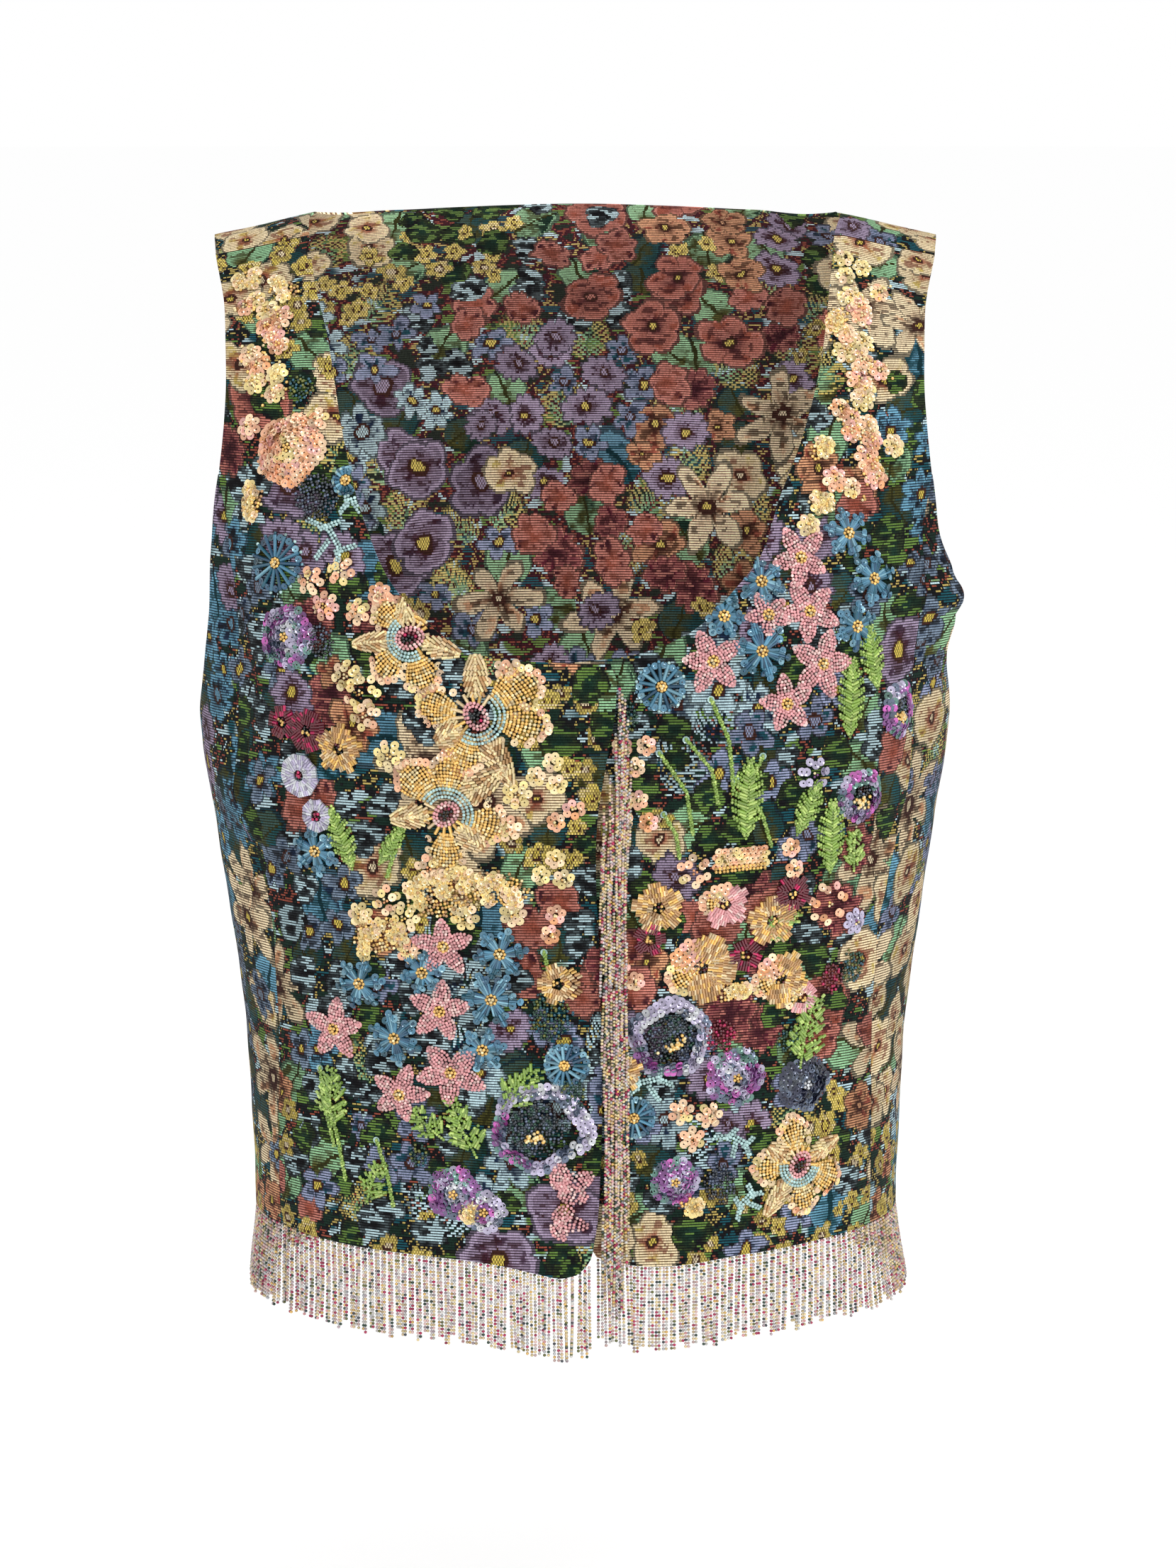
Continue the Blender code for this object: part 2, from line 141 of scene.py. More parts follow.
LEFT_HEM = ((0.0100, 0.4770), (0.0189, 0.4795), (0.0810, 0.4777), (0.1093, 0.4757), (0.1400, 0.4735))
SEAM = ((0.1400, 0.4735), (0.1390, 0.4200), (0.1385, 0.3760), (0.1395, 0.3490), (0.1425, 0.3150),
        (0.1500, 0.2850), (0.1565, 0.2580), (0.1582, 0.2257), (0.1578, 0.1850), (0.1590, 0.1580),
        (0.1612, 0.1370), (0.1652, 0.1180))
FRONT_ARMHOLE = ((0.1652, 0.1180), (0.1626, 0.0940), (0.1620, 0.0660), (0.1632, 0.0400), (0.1685, 0.0100))
# Below the seam's top the armhole is the back piece's: first in front, then behind the side.
LOWER_ARMHOLE_IN_FRONT = ((0.1652, 0.1180), (0.1676, 0.1370), (0.1692, 0.1580), (0.1712, 0.1850),
                          (0.1748, 0.2150))
LOWER_ARMHOLE_BEHIND = ((0.1758, 0.2250), (0.1722, 0.1950), (0.1672, 0.1600), (0.1632, 0.1200),
                        (0.1612, 0.0850), (0.1620, 0.0500), (0.1655, 0.0220), (0.1688, 0.0050))
# Levels, as ways down from the ridge, and two distances from the centre line.
UNDERARM = 0.2395
HEM_BEHIND = 0.4715
BACK_NECK = 0.0018
BACK_NECK_CORNER = 0.1235
SHOULDER_SEAM = 0.0100
SHOULDER_TIP = 0.1685


def cubic(xs, ys, at):
    """A smooth curve through the rows (xs, ys), read at the places at."""
    xs, ys, at = np.asarray(xs, float), np.asarray(ys, float), np.asarray(at, float)
    slopes = np.gradient(ys, xs)
    row = np.clip(np.searchsorted(xs, at) - 1, 0, len(xs) - 2)
    step = xs[row + 1] - xs[row]
    part = np.clip((at - xs[row]) / step, 0, 1)
    return (
        ys[row] * (1 + 2 * part) * (1 - part) ** 2
        + ys[row + 1] * part**2 * (3 - 2 * part)
        + step * (slopes[row] * part * (1 - part) ** 2 - slopes[row + 1] * part**2 * (1 - part))
    )


def way_column():
    """The length of cloth from the ridge to each row of FORM, along a mean of its front and back."""
    depth = (FORM[:, FRONT] + FORM[:, BEHIND]) / 2
    return np.concatenate([[0], np.cumsum(np.hypot(np.diff(FORM[:, DOWN]), np.diff(depth)))])


WAY = way_column()


def way_of(down):
    """The length of cloth from the ridge to a level."""
    return cubic(FORM[:, DOWN], WAY, down)


def form_point(side, turn, way):
    """The point of the form at a turn from the centre of one side (-1 front, 1 back), way down the cloth."""
    level = np.abs(way)
    down, half, front, behind = (cubic(WAY, FORM[:, column], level) for column in range(4))
    across = np.sin(turn)
    along = np.cos(turn)
    x = half * np.sign(across) * np.abs(across) ** (2 / ROUNDNESS)
    facing = side * np.sign(along) * np.where(way < 0, -1, 1)
    depth = np.where(facing < 0, front, behind) * np.abs(along) ** (2 / ROUNDNESS)
    neck = np.where(facing > 0, np.clip(1 - (x / NECK_HALF) ** 2, 0, 1), 0)
    depth = np.cbrt(depth**3 + (NECK_HOLLOW * neck) ** 3)
    slope = SHOULDER_SLOPE * np.clip(np.abs(x) - SHOULDER_START, 0, None)
    z = RIDGE_HEIGHT - down - slope * np.exp(-((down / SHOULDER_FADE) ** 2))
    z += NECK_RISE * neck * np.exp(-((down / NECK_RISE_FADE) ** 2))
    return np.stack([x, facing * depth, z], -1)


def fold_height(points):
    """How far the folds and the slight unevenness of worn cloth move each point out of the form."""
    x, _, z = points.T
    moved = RIPPLE * np.sin(x * 61 + z * 23 + 1.3) * np.sin(z * 47 - x * 19)
    moved += RIPPLE * 0.6 * np.sin(x * 133 - z * 71) * np.sin(z * 112 + x * 37 + 0.6)
    for side, x0, z0, x1, z1, height, breadth in FOLDS:
        start, along = np.array((x0, z0)), np.array((x1 - x0, z1 - z0))
        away = points[:, (0, 2)] - start
        part = np.clip(away @ along / (along @ along), 0, 1)
        gap = np.linalg.norm(away - part[:, None] * along, axis=1)
        ends = 0.55 + 0.45 * np.sin(np.pi * part)
        moved += np.where(points[:, 1] * side > 0, height * ends * np.exp(-((gap / breadth) ** 2)), 0)
    return moved


def wrapped(side, flat):
    """Flat pattern points, rows of (turn * REACH, -way, height), laid on the form."""
    turn, way, height = flat[:, 0] / REACH, -flat[:, 1], flat[:, 2]
    points = form_point(side, turn, way)
    across = form_point(side, turn + TINY, way) - form_point(side, turn - TINY, way)
    along = form_point(side, turn, way + TINY) - form_point(side, turn, way - TINY)
    out = np.cross(along, across) * -side
    out /= np.linalg.norm(out, axis=1, keepdims=True)
    return points + out * (height + fold_height(points))[:, None]


def turn_at(x, down):
    """The turn, from the centre of either side, of a point this far from the centre line."""
    half = cubic(FORM[:, DOWN], FORM[:, HALF], down)
    return np.sign(x) * np.arcsin(np.clip(np.abs(x) / half, 0, 1) ** (ROUNDNESS / 2))


def drawn(rows, mirror=1, beyond=False, shift=0.0):
    """Rows of (distance from the centre, level) as flat points, near or beyond the side's turn."""
    rows = np.array(rows, float)
    turn = turn_at(rows[:, 0] + shift, rows[:, 1])
    if beyond:
        turn = np.pi - turn
    return np.stack([mirror * turn * REACH, -way_of(rows[:, 1])], -1)


def way_along(points):
    """How far along a line of points each of them lies."""
    return np.concatenate([[0], np.cumsum(np.linalg.norm(np.diff(points, axis=0), axis=1))])


def stepped(points, step):
    """A smooth curve through flat points, as points about one step apart, both ends kept."""
    lengths = way_along(points)
    count = max(int(round(lengths[-1] / step)), 1) + 1
    at = np.linspace(0, lengths[-1], count)
    return np.stack([cubic(lengths, points[:, 0], at), cubic(lengths, points[:, 1], at)], -1)


def outline_of(edges, step):
    """One closed outline from edges that meet end to end."""
    return np.concatenate([stepped(edge, step)[:-1] for edge in edges])


def inside(points, outline):
    """Which points lie in the outline."""
    x, y = points[:, 0, None], points[:, 1, None]
    x0, y0 = outline.T
    x1, y1 = np.roll(outline, -1, axis=0).T
    with np.errstate(divide="ignore", invalid="ignore"):
        crossing = ((y0 > y) != (y1 > y)) & (x < (x1 - x0) * (y - y0) / (y1 - y0) + x0)
    return crossing.sum(axis=1) % 2 == 1


def lap_lift(x):
    """The overlapping front stands out over the other near the centre, and lies on the form elsewhere."""
    part = np.clip((x + LAP_START * 2) / LAP_START, 0, 1)
    return LAP * part * part * (3 - 2 * part)


def flat_lift(x):
    """The other pieces lie on the form."""
    return np.zeros_like(x)


def front_outline(neck, centre, hem, mirror):
    """A front's outline, from the shoulder seam down the neck, and back up the side seam and the armhole."""
    neck, centre, hem, armhole = (drawn(rows, mirror) for rows in (neck, centre, hem, FRONT_ARMHOLE))
    seam = drawn(SEAM, mirror, shift=-SEAM_GAP / 2)
    hem[-1] = seam[0]
    armhole[0] = seam[-1]
    shoulder = np.array([armhole[-1], neck[0]])
    return outline_of([neck, centre, hem, seam, armhole, shoulder], EDGE_STEP)


def mirrored(points):
    """Flat points on the other side of the centre line, in the order that goes on round the outline."""
    return points[::-1] * (-1, 1)


def half_back(neck_corner):
    """The back's edges on +X, from the centre of the hem, round by the seam, up to the shoulder."""
    seam = drawn(SEAM, beyond=True, shift=SEAM_GAP / 2)
    hem = np.stack([np.linspace(0, seam[0][0], 9), np.linspace(-way_of(HEM_BEHIND), seam[0][1], 9)], -1)
    before = drawn(LOWER_ARMHOLE_IN_FRONT, beyond=True)
    behind = drawn(LOWER_ARMHOLE_BEHIND)
    lowest = np.array([[np.pi / 2 * REACH, -way_of(UNDERARM)]])
    armhole = np.concatenate([before, lowest, behind])
    armhole[0] = seam[-1]
    seam_end = way_of(SHOULDER_SEAM) - SEAM_GAP
    tip_x, neck_x = turn_at(SHOULDER_TIP, SHOULDER_SEAM) * REACH, turn_at(neck_corner, SHOULDER_SEAM) * REACH
    over = np.array([armhole[-1], [turn_at(SHOULDER_TIP + 0.0012, 0.0) * REACH, 0.0], [tip_x, seam_end]])
    shoulder = np.array([[tip_x, seam_end], [neck_x, seam_end]])
    inner = np.array([
        [neck_x, seam_end],
        [turn_at(BACK_NECK_CORNER, 0.0) * REACH, 0.0],
        [turn_at(BACK_NECK_CORNER - 0.010, 0.0) * REACH, -way_of(BACK_NECK)],
        [turn_at(BACK_NECK_CORNER - 0.040, 0.0) * REACH, -way_of(BACK_NECK * 1.3)],
        [0, -way_of(BACK_NECK)],
    ])
    return [hem, seam, armhole, over, shoulder, inner]


def back_outline():
    """The back's outline: one half's edges, then the other's, mirrored."""
    right_hand = half_back(LEFT_NECK[0][0])
    left_hand = half_back(RIGHT_NECK[0][0])
    return outline_of(right_hand + [mirrored(edge) for edge in reversed(left_hand)], EDGE_STEP)


# In how many steps the way across a side is measured.
TRACK_STEPS = 25


def cloth_place(side, flat):
    """Real metres on the cloth: how far across from the side's centre, and minus the way down."""
    turns = flat[:, 0, None] / REACH * np.linspace(0, 1, TRACK_STEPS)
    track = form_point(side, turns, np.broadcast_to(-flat[:, 1, None], turns.shape))
    across = np.linalg.norm(np.diff(track, axis=1), axis=2).sum(axis=1)
    return np.stack([np.sign(flat[:, 0]) * across, flat[:, 1]], -1)


# Colours, as a painter would mix them: red, green and blue of 255.
THREADS = {
    "ground": (20, 19, 22),
    "cream": (222, 204, 168),
    "straw": (186, 164, 92),
    "yellow": (206, 184, 84),
    "apricot": (200, 148, 110),
    "rust": (144, 74, 58),
    "rose": (192, 122, 108),
    "wine": (92, 30, 46),
    "maroon": (62, 26, 34),
    "plum": (62, 44, 60),
    "lilac": (156, 140, 164),
    "lavender": (140, 146, 174),
    "ice": (176, 202, 208),
    "sky": (104, 154, 178),
    "teal": (26, 76, 86),
    "slate": (118, 134, 152),
    "navy": (28, 42, 66),
    "leaf": (98, 128, 60),
    "moss": (74, 72, 32),
    "bottle": (22, 46, 36),
    "mint": (138, 182, 140),
    "brown": (58, 32, 26),
}
BEADS = {
    # red, green, blue, and how metallic
    "gold": (240, 194, 110, 0.42),
    "pale_gold": (242, 220, 166, 0.35),
    "tan": (184, 142, 94, 0.25),
    "pink": (220, 156, 158, 0.05),
    "rose_clear": (232, 196, 190, 0.25),
    "clear": (222, 218, 212, 0.30),
    "mauve": (190, 170, 176, 0.30),
    "cerise": (184, 24, 84, 0.20),
    "wine": (96, 20, 36, 0.05),
    "steel": (74, 126, 152, 0.25),
    # Paler steel, which among the steel beads is a painted highlight.
    "steel_pale": (118, 164, 182, 0.30),
    "steel_deep": (42, 84, 112, 0.25),
    "petrol": (26, 82, 100, 0.20),
    "aqua": (172, 204, 202, 0.15),
    "lime": (132, 164, 70, 0.10),
    # Paler lime, which among the lime beads is a painted highlight.
    "lime_pale": (180, 204, 112, 0.25),
    "olive": (104, 108, 44, 0.20),
    "bottle": (26, 66, 48, 0.30),
    "gunmetal": (66, 72, 80, 0.55),
    "jet": (18, 18, 20, 0.10),
    "champagne": (226, 200, 156, 0.30),
    "silver": (206, 208, 212, 0.55),
    "peach": (246, 186, 148, 0.30),
    "peach_pink": (240, 180, 168, 0.35),
    "peach_pale": (248, 212, 172, 0.30),
    "lemon": (240, 216, 144, 0.35),
    "orange": (228, 160, 108, 0.40),
    "lilac": (186, 178, 204, 0.40),
    "purple": (130, 76, 138, 0.50),
    "magenta": (196, 96, 178, 0.50),
    "slate": (96, 108, 130, 0.50),
    "sea": (96, 140, 128, 0.50),
    "navy": (38, 42, 66, 0.45),
}
# Mixed colours of foil and glass: partly beads and sequins of different colours, partly painted highlights
# and painted reflections, the paler and shifted tints standing for sequins and beads that turn in the light.
PINKS = ("pink", "pink", "rose_clear", "pink")
TANS = ("tan", "tan", "champagne", "gold")
PEACH = ("peach", "peach", "peach_pink", "peach_pale", "orange")
CREAMY = ("peach_pale", "lemon", "peach_pale", "peach")
LEMONY = ("lemon", "lemon", "pale_gold", "peach_pale")
PURPLES = ("purple", "purple", "magenta", "slate", "sea", "lilac")
SILVERS = ("lilac", "silver", "slate", "lilac")
NAVIES = ("navy", "navy", "gunmetal", "slate")
STEELS = ("steel", "steel", "steel", "steel_deep", "petrol", "steel_pale")
LIMES = ("lime", "lime", "lime", "lime_pale")
WINES = ("wine", "wine", "wine", "wine", "wine", "cerise")


def light_of(rgb):
    """A painter's colour as the amounts of light that a shader takes."""
    part = np.array(rgb[:3]) / 255
    return tuple(np.where(part <= 0.04045, part / 12.92, ((part + 0.055) / 1.055) ** 2.4))


# Woven flowers: petals, how pointed, how deep between petals, heart, texture (1 barred, 2 dotted), where the
# rim starts (2 for a bare patch), how strongly its lines show, radii in mm, then its ground outside and
# inside, and its lines.
WOVEN = {
    # name: (petals, power, depth, heart, texture, rim_from, hatch, small, large, outer, inner, lines)
    "poppy": (5, 0.45, 0.30, 0.12, 0, 0.88, 0.60, 11, 20, "rust", "maroon", "rose"),
    "rose": (6, 0.55, 0.22, 0.00, 0, 0.84, 0.80, 8, 14, "maroon", "rust", "rose"),
    "carnation": (9, 0.80, 0.24, 0.00, 0, 0.90, 0.35, 10, 16, "wine", "maroon", "rose"),
    "tan": (5, 0.60, 0.34, 0.12, 0, 0.88, 0.85, 9, 15, "rust", "brown", "apricot"),
    "lily": (6, 1.20, 0.62, 0.08, 0, 0.80, 0.95, 18, 30, "apricot", "brown", "cream"),
    "cream_rose": (5, 0.40, 0.26, 0.10, 0, 0.78, 0.90, 10, 18, "straw", "rust", "cream"),
    "cluster": (5, 0.55, 0.46, 0.26, 2, 0.98, 0.15, 5, 8, "yellow", "straw", "cream"),
    "daisy": (7, 0.70, 0.48, 0.18, 0, 0.72, 0.90, 10, 16, "navy", "navy", "ice"),
    "starry": (5, 0.75, 0.54, 0.22, 0, 0.74, 0.85, 8, 13, "teal", "navy", "lavender"),
    "deep_daisy": (7, 0.70, 0.48, 0.18, 0, 0.72, 0.60, 9, 15, "navy", "ground", "sky"),
    "deep_starry": (5, 0.75, 0.54, 0.22, 0, 0.74, 0.60, 8, 13, "navy", "ground", "slate"),
    "anemone": (5, 0.40, 0.22, 0.20, 0, 0.80, 0.55, 13, 21, "plum", "maroon", "lilac"),
    "aster": (11, 0.60, 0.26, 0.18, 0, 0.62, 0.80, 9, 14, "plum", "maroon", "lilac"),
    "gap": (3, 0.50, 0.30, 0.00, 0, 2.00, 0.12, 6, 11, "ground", "ground", "ice"),
    "green_gap": (3, 0.50, 0.30, 0.00, 0, 2.00, 0.12, 6, 11, "ground", "bottle", "leaf"),
    "leaf": (1, 5.0, 1.00, 0.00, 0, 0.90, 0.95, 16, 34, "bottle", "moss", "mint"),
    "dark_leaf": (1, 4.0, 1.00, 0.00, 0, 0.95, 0.55, 14, 30, "bottle", "moss", "teal"),
    "blade": (1, 9.0, 1.00, 0.00, 0, 0.80, 0.80, 22, 46, "navy", "teal", "sky"),
    "fern": (1, 4.0, 1.00, 0.00, 1, 0.60, 0.65, 16, 34, "leaf", "mint", "straw"),
    "frond": (1, 3.0, 1.00, 0.00, 1, 0.30, 0.95, 18, 38, "ground", "navy", "ice"),
}

# Beds of woven flowers: place in mm (across, down), how far the bed reaches, its flowers and its leaves.
RIGHT_BEDS = (
    (-145, 20, 30, ("cream_rose", "cluster"), ("leaf", "dark_leaf")),
    (-128, 70, 30, ("cluster", "poppy", "cream_rose", "green_gap"), ("leaf", "fern")),
    (-150, 105, 26, ("deep_starry", "aster", "carnation", "gap"), ("blade", "dark_leaf")),
    (-118, 135, 30, ("anemone", "aster", "deep_daisy", "green_gap"), ("fern", "dark_leaf")),
    (-150, 175, 28, ("deep_starry", "deep_daisy", "gap"), ("blade", "leaf")),
    (-100, 190, 30, ("poppy", "tan", "carnation", "green_gap"), ("dark_leaf", "leaf")),
    (-60, 200, 32, ("lily", "cream_rose", "gap"), ("blade", "leaf")),
    (-15, 215, 26, ("cluster", "tan", "green_gap"), ("leaf", "fern")),
    (-125, 245, 26, ("carnation", "rose", "aster", "gap"), ("dark_leaf", "blade")),
    (-152, 270, 28, ("deep_starry", "deep_daisy", "green_gap"), ("blade", "dark_leaf")),
    (-60, 262, 32, ("lily", "tan", "gap"), ("dark_leaf", "fern")),
    (-15, 270, 26, ("cluster", "cream_rose", "green_gap"), ("leaf", "dark_leaf")),
    (-128, 315, 26, ("deep_starry", "deep_daisy", "gap"), ("blade", "blade")),
    (-70, 310, 30, ("cluster", "cream_rose", "tan", "green_gap"), ("leaf", "dark_leaf")),
    (-10, 325, 30, ("rose", "poppy", "carnation", "gap"), ("dark_leaf", "leaf")),
    (-70, 352, 32, ("daisy", "starry", "gap", "green_gap"), ("frond", "blade")),
    (-152, 360, 24, ("cream_rose", "lily", "green_gap"), ("leaf", "dark_leaf")),
    (-112, 372, 26, ("deep_daisy", "deep_starry", "gap", "green_gap"), ("frond", "dark_leaf")),
    (-18, 372, 26, ("aster", "starry", "gap"), ("blade", "frond")),
    (-148, 410, 24, ("cluster", "tan", "green_gap"), ("leaf", "fern")),
    (-95, 420, 34, ("starry", "gap", "green_gap"), ("frond", "fern", "leaf")),
    (-40, 420, 30, ("anemone", "daisy", "gap", "green_gap"), ("frond", "dark_leaf")),
    (-140, 458, 24, ("cluster", "rose", "gap"), ("leaf", "blade")),
    (-70, 462, 30, ("daisy", "cluster", "gap", "green_gap"), ("fern", "frond")),
    (-8, 462, 26, ("cream_rose", "anemone", "green_gap"), ("leaf", "fern")),
)
LEFT_BEDS = (
    (140, 20, 30, ("cream_rose", "lily"), ("leaf", "fern")),
    (128, 65, 28, ("cream_rose", "lily", "gap"), ("leaf", "fern")),
    (150, 95, 26, ("deep_starry", "deep_daisy", "green_gap"), ("blade", "dark_leaf")),
    (122, 122, 28, ("rose", "tan", "gap"), ("dark_leaf", "leaf")),
    (145, 155, 28, ("deep_daisy", "deep_starry", "green_gap"), ("blade", "leaf")),
    (100, 168, 30, ("daisy", "aster", "gap"), ("dark_leaf", "blade")),
    (60, 195, 28, ("daisy", "anemone", "green_gap"), ("blade", "dark_leaf")),
    (20, 210, 26, ("poppy", "cream_rose", "gap"), ("leaf", "dark_leaf")),
    (95, 215, 28, ("starry", "daisy", "green_gap"), ("frond", "dark_leaf")),
    (145, 225, 24, ("anemone", "rose", "gap"), ("dark_leaf", "leaf")),
    (55, 245, 34, ("starry", "gap", "green_gap"), ("frond", "frond", "blade")),
    (100, 262, 26, ("starry", "anemone", "gap", "green_gap"), ("frond", "dark_leaf")),
    (152, 280, 30, ("lily", "cream_rose", "green_gap"), ("leaf", "dark_leaf")),
    (22, 282, 26, ("cream_rose", "tan", "cluster", "gap"), ("leaf", "dark_leaf")),
    (70, 300, 28, ("rose", "carnation", "aster", "green_gap"), ("fern", "dark_leaf")),
    (118, 312, 26, ("aster", "carnation", "gap"), ("leaf", "blade")),
    (30, 330, 28, ("rose", "carnation", "tan", "green_gap"), ("leaf", "dark_leaf")),
    (150, 345, 28, ("lily", "cream_rose", "gap"), ("leaf", "blade")),
    (85, 345, 30, ("tan", "poppy", "carnation", "green_gap"), ("dark_leaf", "leaf")),
    (45, 368, 26, ("anemone", "starry", "gap"), ("frond", "dark_leaf")),
    (115, 372, 26, ("rose", "poppy", "starry", "green_gap"), ("dark_leaf", "leaf")),
    (30, 405, 26, ("daisy", "starry", "gap"), ("fern", "dark_leaf")),
    (80, 405, 28, ("starry", "aster", "green_gap"), ("frond", "leaf")),
    (148, 405, 26, ("tan", "lily", "gap"), ("leaf", "dark_leaf")),
    (110, 430, 28, ("lily", "cluster", "green_gap"), ("leaf", "fern")),
    (25, 448, 26, ("cream_rose", "cluster", "gap"), ("dark_leaf", "leaf")),
    (75, 460, 30, ("daisy", "starry", "cluster", "green_gap"), ("leaf", "frond")),
    (140, 458, 24, ("cream_rose", "cluster", "gap"), ("leaf", "blade")),
)
BACK_BEDS = (
    (-108, 12, 28, ("cream_rose", "lily"), ("leaf", "fern")),
    (-82, 42, 26, ("cluster", "cluster", "cream_rose"), ("leaf", "fern")),
    (-46, 14, 26, ("cluster", "cluster", "green_gap"), ("leaf", "dark_leaf")),
    (6, 34, 34, ("poppy", "rose", "gap"), ("leaf", "dark_leaf")),
    (52, 18, 26, ("cluster", "poppy", "tan"), ("leaf", "fern")),
    (96, 18, 28, ("aster", "starry", "green_gap"), ("leaf", "fern")),
    (132, 22, 26, ("cream_rose", "tan"), ("leaf", "fern")),
    (-112, 72, 30, ("daisy", "starry", "starry"), ("fern", "leaf")),
    (-56, 70, 30, ("rose", "starry", "gap"), ("leaf", "fern")),
    (4, 84, 30, ("aster", "aster", "starry"), ("dark_leaf", "fern")),
    (62, 68, 34, ("poppy", "rose", "carnation"), ("fern", "leaf")),
    (120, 75, 34, ("poppy", "aster", "cluster"), ("fern", "leaf")),
    (-80, 112, 32, ("anemone", "daisy"), ("fern", "dark_leaf")),
    (-20, 122, 32, ("cream_rose", "aster", "anemone"), ("dark_leaf", "leaf")),
    (35, 118, 28, ("tan", "aster"), ("blade", "fern")),
    (85, 122, 34, ("lily", "cream_rose"), ("leaf", "dark_leaf")),
    (-130, 140, 30, ("starry", "daisy"), ("blade", "fern")),
    (-60, 158, 30, ("anemone", "carnation"), ("fern", "dark_leaf")),
    (0, 165, 30, ("carnation", "carnation", "rose"), ("fern", "leaf")),
    (65, 165, 32, ("lily", "tan", "carnation"), ("leaf", "fern")),
    (135, 150, 34, ("poppy", "rose"), ("leaf", "blade")),
    (-110, 215, 44, ("poppy", "daisy", "cluster"), ("leaf", "blade")),
    (-20, 215, 44, ("lily", "aster", "starry"), ("leaf", "fern")),
    (80, 220, 44, ("anemone", "daisy", "cluster"), ("fern", "dark_leaf")),
    (165, 225, 44, ("cream_rose", "lily", "deep_starry"), ("blade", "leaf")),
    (-190, 250, 44, ("deep_starry", "deep_daisy", "aster"), ("blade", "dark_leaf")),
    (-140, 300, 44, ("lily", "carnation", "tan"), ("leaf", "frond")),
    (-50, 290, 44, ("poppy", "rose", "cluster"), ("fern", "dark_leaf")),
    (40, 300, 44, ("daisy", "anemone", "starry"), ("frond", "leaf")),
    (130, 305, 44, ("lily", "cream_rose", "aster"), ("leaf", "dark_leaf")),
    (210, 290, 44, ("cream_rose", "lily", "starry"), ("blade", "fern")),
    (-210, 360, 44, ("cream_rose", "lily", "deep_starry"), ("blade", "dark_leaf")),
    (-110, 375, 44, ("aster", "daisy", "anemone"), ("frond", "leaf")),
    (-20, 380, 44, ("cream_rose", "tan", "carnation"), ("dark_leaf", "fern")),
    (70, 385, 44, ("poppy", "rose", "daisy"), ("leaf", "frond")),
    (160, 380, 44, ("lily", "cluster", "starry"), ("leaf", "blade")),
    (225, 370, 44, ("lily", "cream_rose"), ("leaf", "dark_leaf")),
    (-160, 445, 44, ("cluster", "daisy", "tan"), ("leaf", "fern")),
    (-65, 450, 44, ("starry", "lily", "rose"), ("frond", "leaf")),
    (30, 450, 44, ("daisy", "cluster", "poppy"), ("dark_leaf", "fern")),
    (125, 450, 44, ("cream_rose", "aster", "starry"), ("leaf", "frond")),
    (210, 445, 44, ("cluster", "tan", "daisy"), ("leaf", "blade")),
)
# How many layers of flowers lie one over another, how far apart those of one layer keep, and their size.
LAYERS = 3
CROWDING = 1.06
SOWN_SIZE = 0.86
# How near the middle of a flower below may come to one above, as shares of their two sizes.
NEAR_ABOVE, NEAR_BELOW = 0.66, 0.35
# How far the back's beds are spread, and how far past its own size a flower is carried by the faces.
BACK_SPREAD = 1.12
CARRIED = 1.06
# Sowing by turns: share of the largest size, whether leaves, and how many tries for each square metre.
TURNS = ((1.0, False, 9000), (0.5, False, 9000), (0.7, True, 14000), (0.2, False, 5000))


def sown(side, outline, beds, seed):
    """Woven flowers and leaves scattered in their beds.

    Rows of layer, kind, place, radius, angle, tone, and the middle and half breadth of what it covers.
    """
    rng = np.random.default_rng(seed)
    edge = cloth_place(side, outline)
    low, high = edge.min(axis=0), edge.max(axis=0)
    spots = np.array([(across / 1000, down / 1000) for across, down, *_ in beds])
    turns = np.stack([turn_at(spots[:, 0], spots[:, 1]) * REACH, -way_of(spots[:, 1])], -1)
    if side > 0:
        turns[:, 0] = spots[:, 0] * BACK_SPREAD
    centres = cloth_place(side, turns)
    reach = np.array([bed[2] / 1000 for bed in beds])
    found = []
    middles, halves, layers = np.zeros((0, 2)), np.zeros(0), np.zeros(0, int)
    for share, leafy, tries in TURNS:
        for _ in range(int(tries * np.prod(high - low))):
            place = low + (high - low) * rng.random(2)
            bed = beds[int(np.argmin(np.linalg.norm(centres - place, axis=1) / reach))]
            kinds = bed[4 if leafy else 3]
            kind = kinds[int(rng.integers(len(kinds)))]
            small, large = WOVEN[kind][7:9]
            half = (small + (large - small) * share * rng.uniform(0.6, 1)) / 1000 * SOWN_SIZE
            row = [kind, place, half, rng.uniform(0, 2 * np.pi), rng.uniform(-1, 1)]
            middle = place
            if leafy:
                row[3] = np.pi / 2 + rng.normal(0, 0.8)
                half *= 0.5
                middle = place + half * np.array((np.cos(row[3]), np.sin(row[3])))
            gaps = np.linalg.norm(middles - middle, axis=1)
            for layer in range(1 if leafy else 0, LAYERS if leafy else 2):
                same, above = layers == layer, layers < layer
                crowded = (gaps[same] < CROWDING * (half + halves[same])).any()
                hidden = (gaps[above] < NEAR_ABOVE * halves[above] + NEAR_BELOW * half).any()
                if not crowded and not hidden:
                    found.append((layer, *row, middle, half))
                    middles = np.concatenate([middles, [middle]])
                    halves, layers = np.append(halves, half), np.append(layers, layer)
                    break
    return found


def carried(mesh, name, kind, values):
    """Stores one attribute of the mesh's face corners."""
    width = 3 if kind == "FLOAT_VECTOR" else 4
    layer = mesh.attributes.new(name, kind, "CORNER")
    key = "vector" if width == 3 else "color"
    layer.data.foreach_set(key, np.ascontiguousarray(values, np.float32).ravel())


def corner_points(mesh):
    """The number of the point at each face corner."""
    corners = np.empty(len(mesh.loops), np.int32)
    mesh.loops.foreach_get("vertex_index", corners)
    return corners


# A flower far away, for the faces that none lies on.
NO_FLOWER = [50.0, 50.0, 1, 0, 1, 5, 1, 0, 0] + [0] * 12


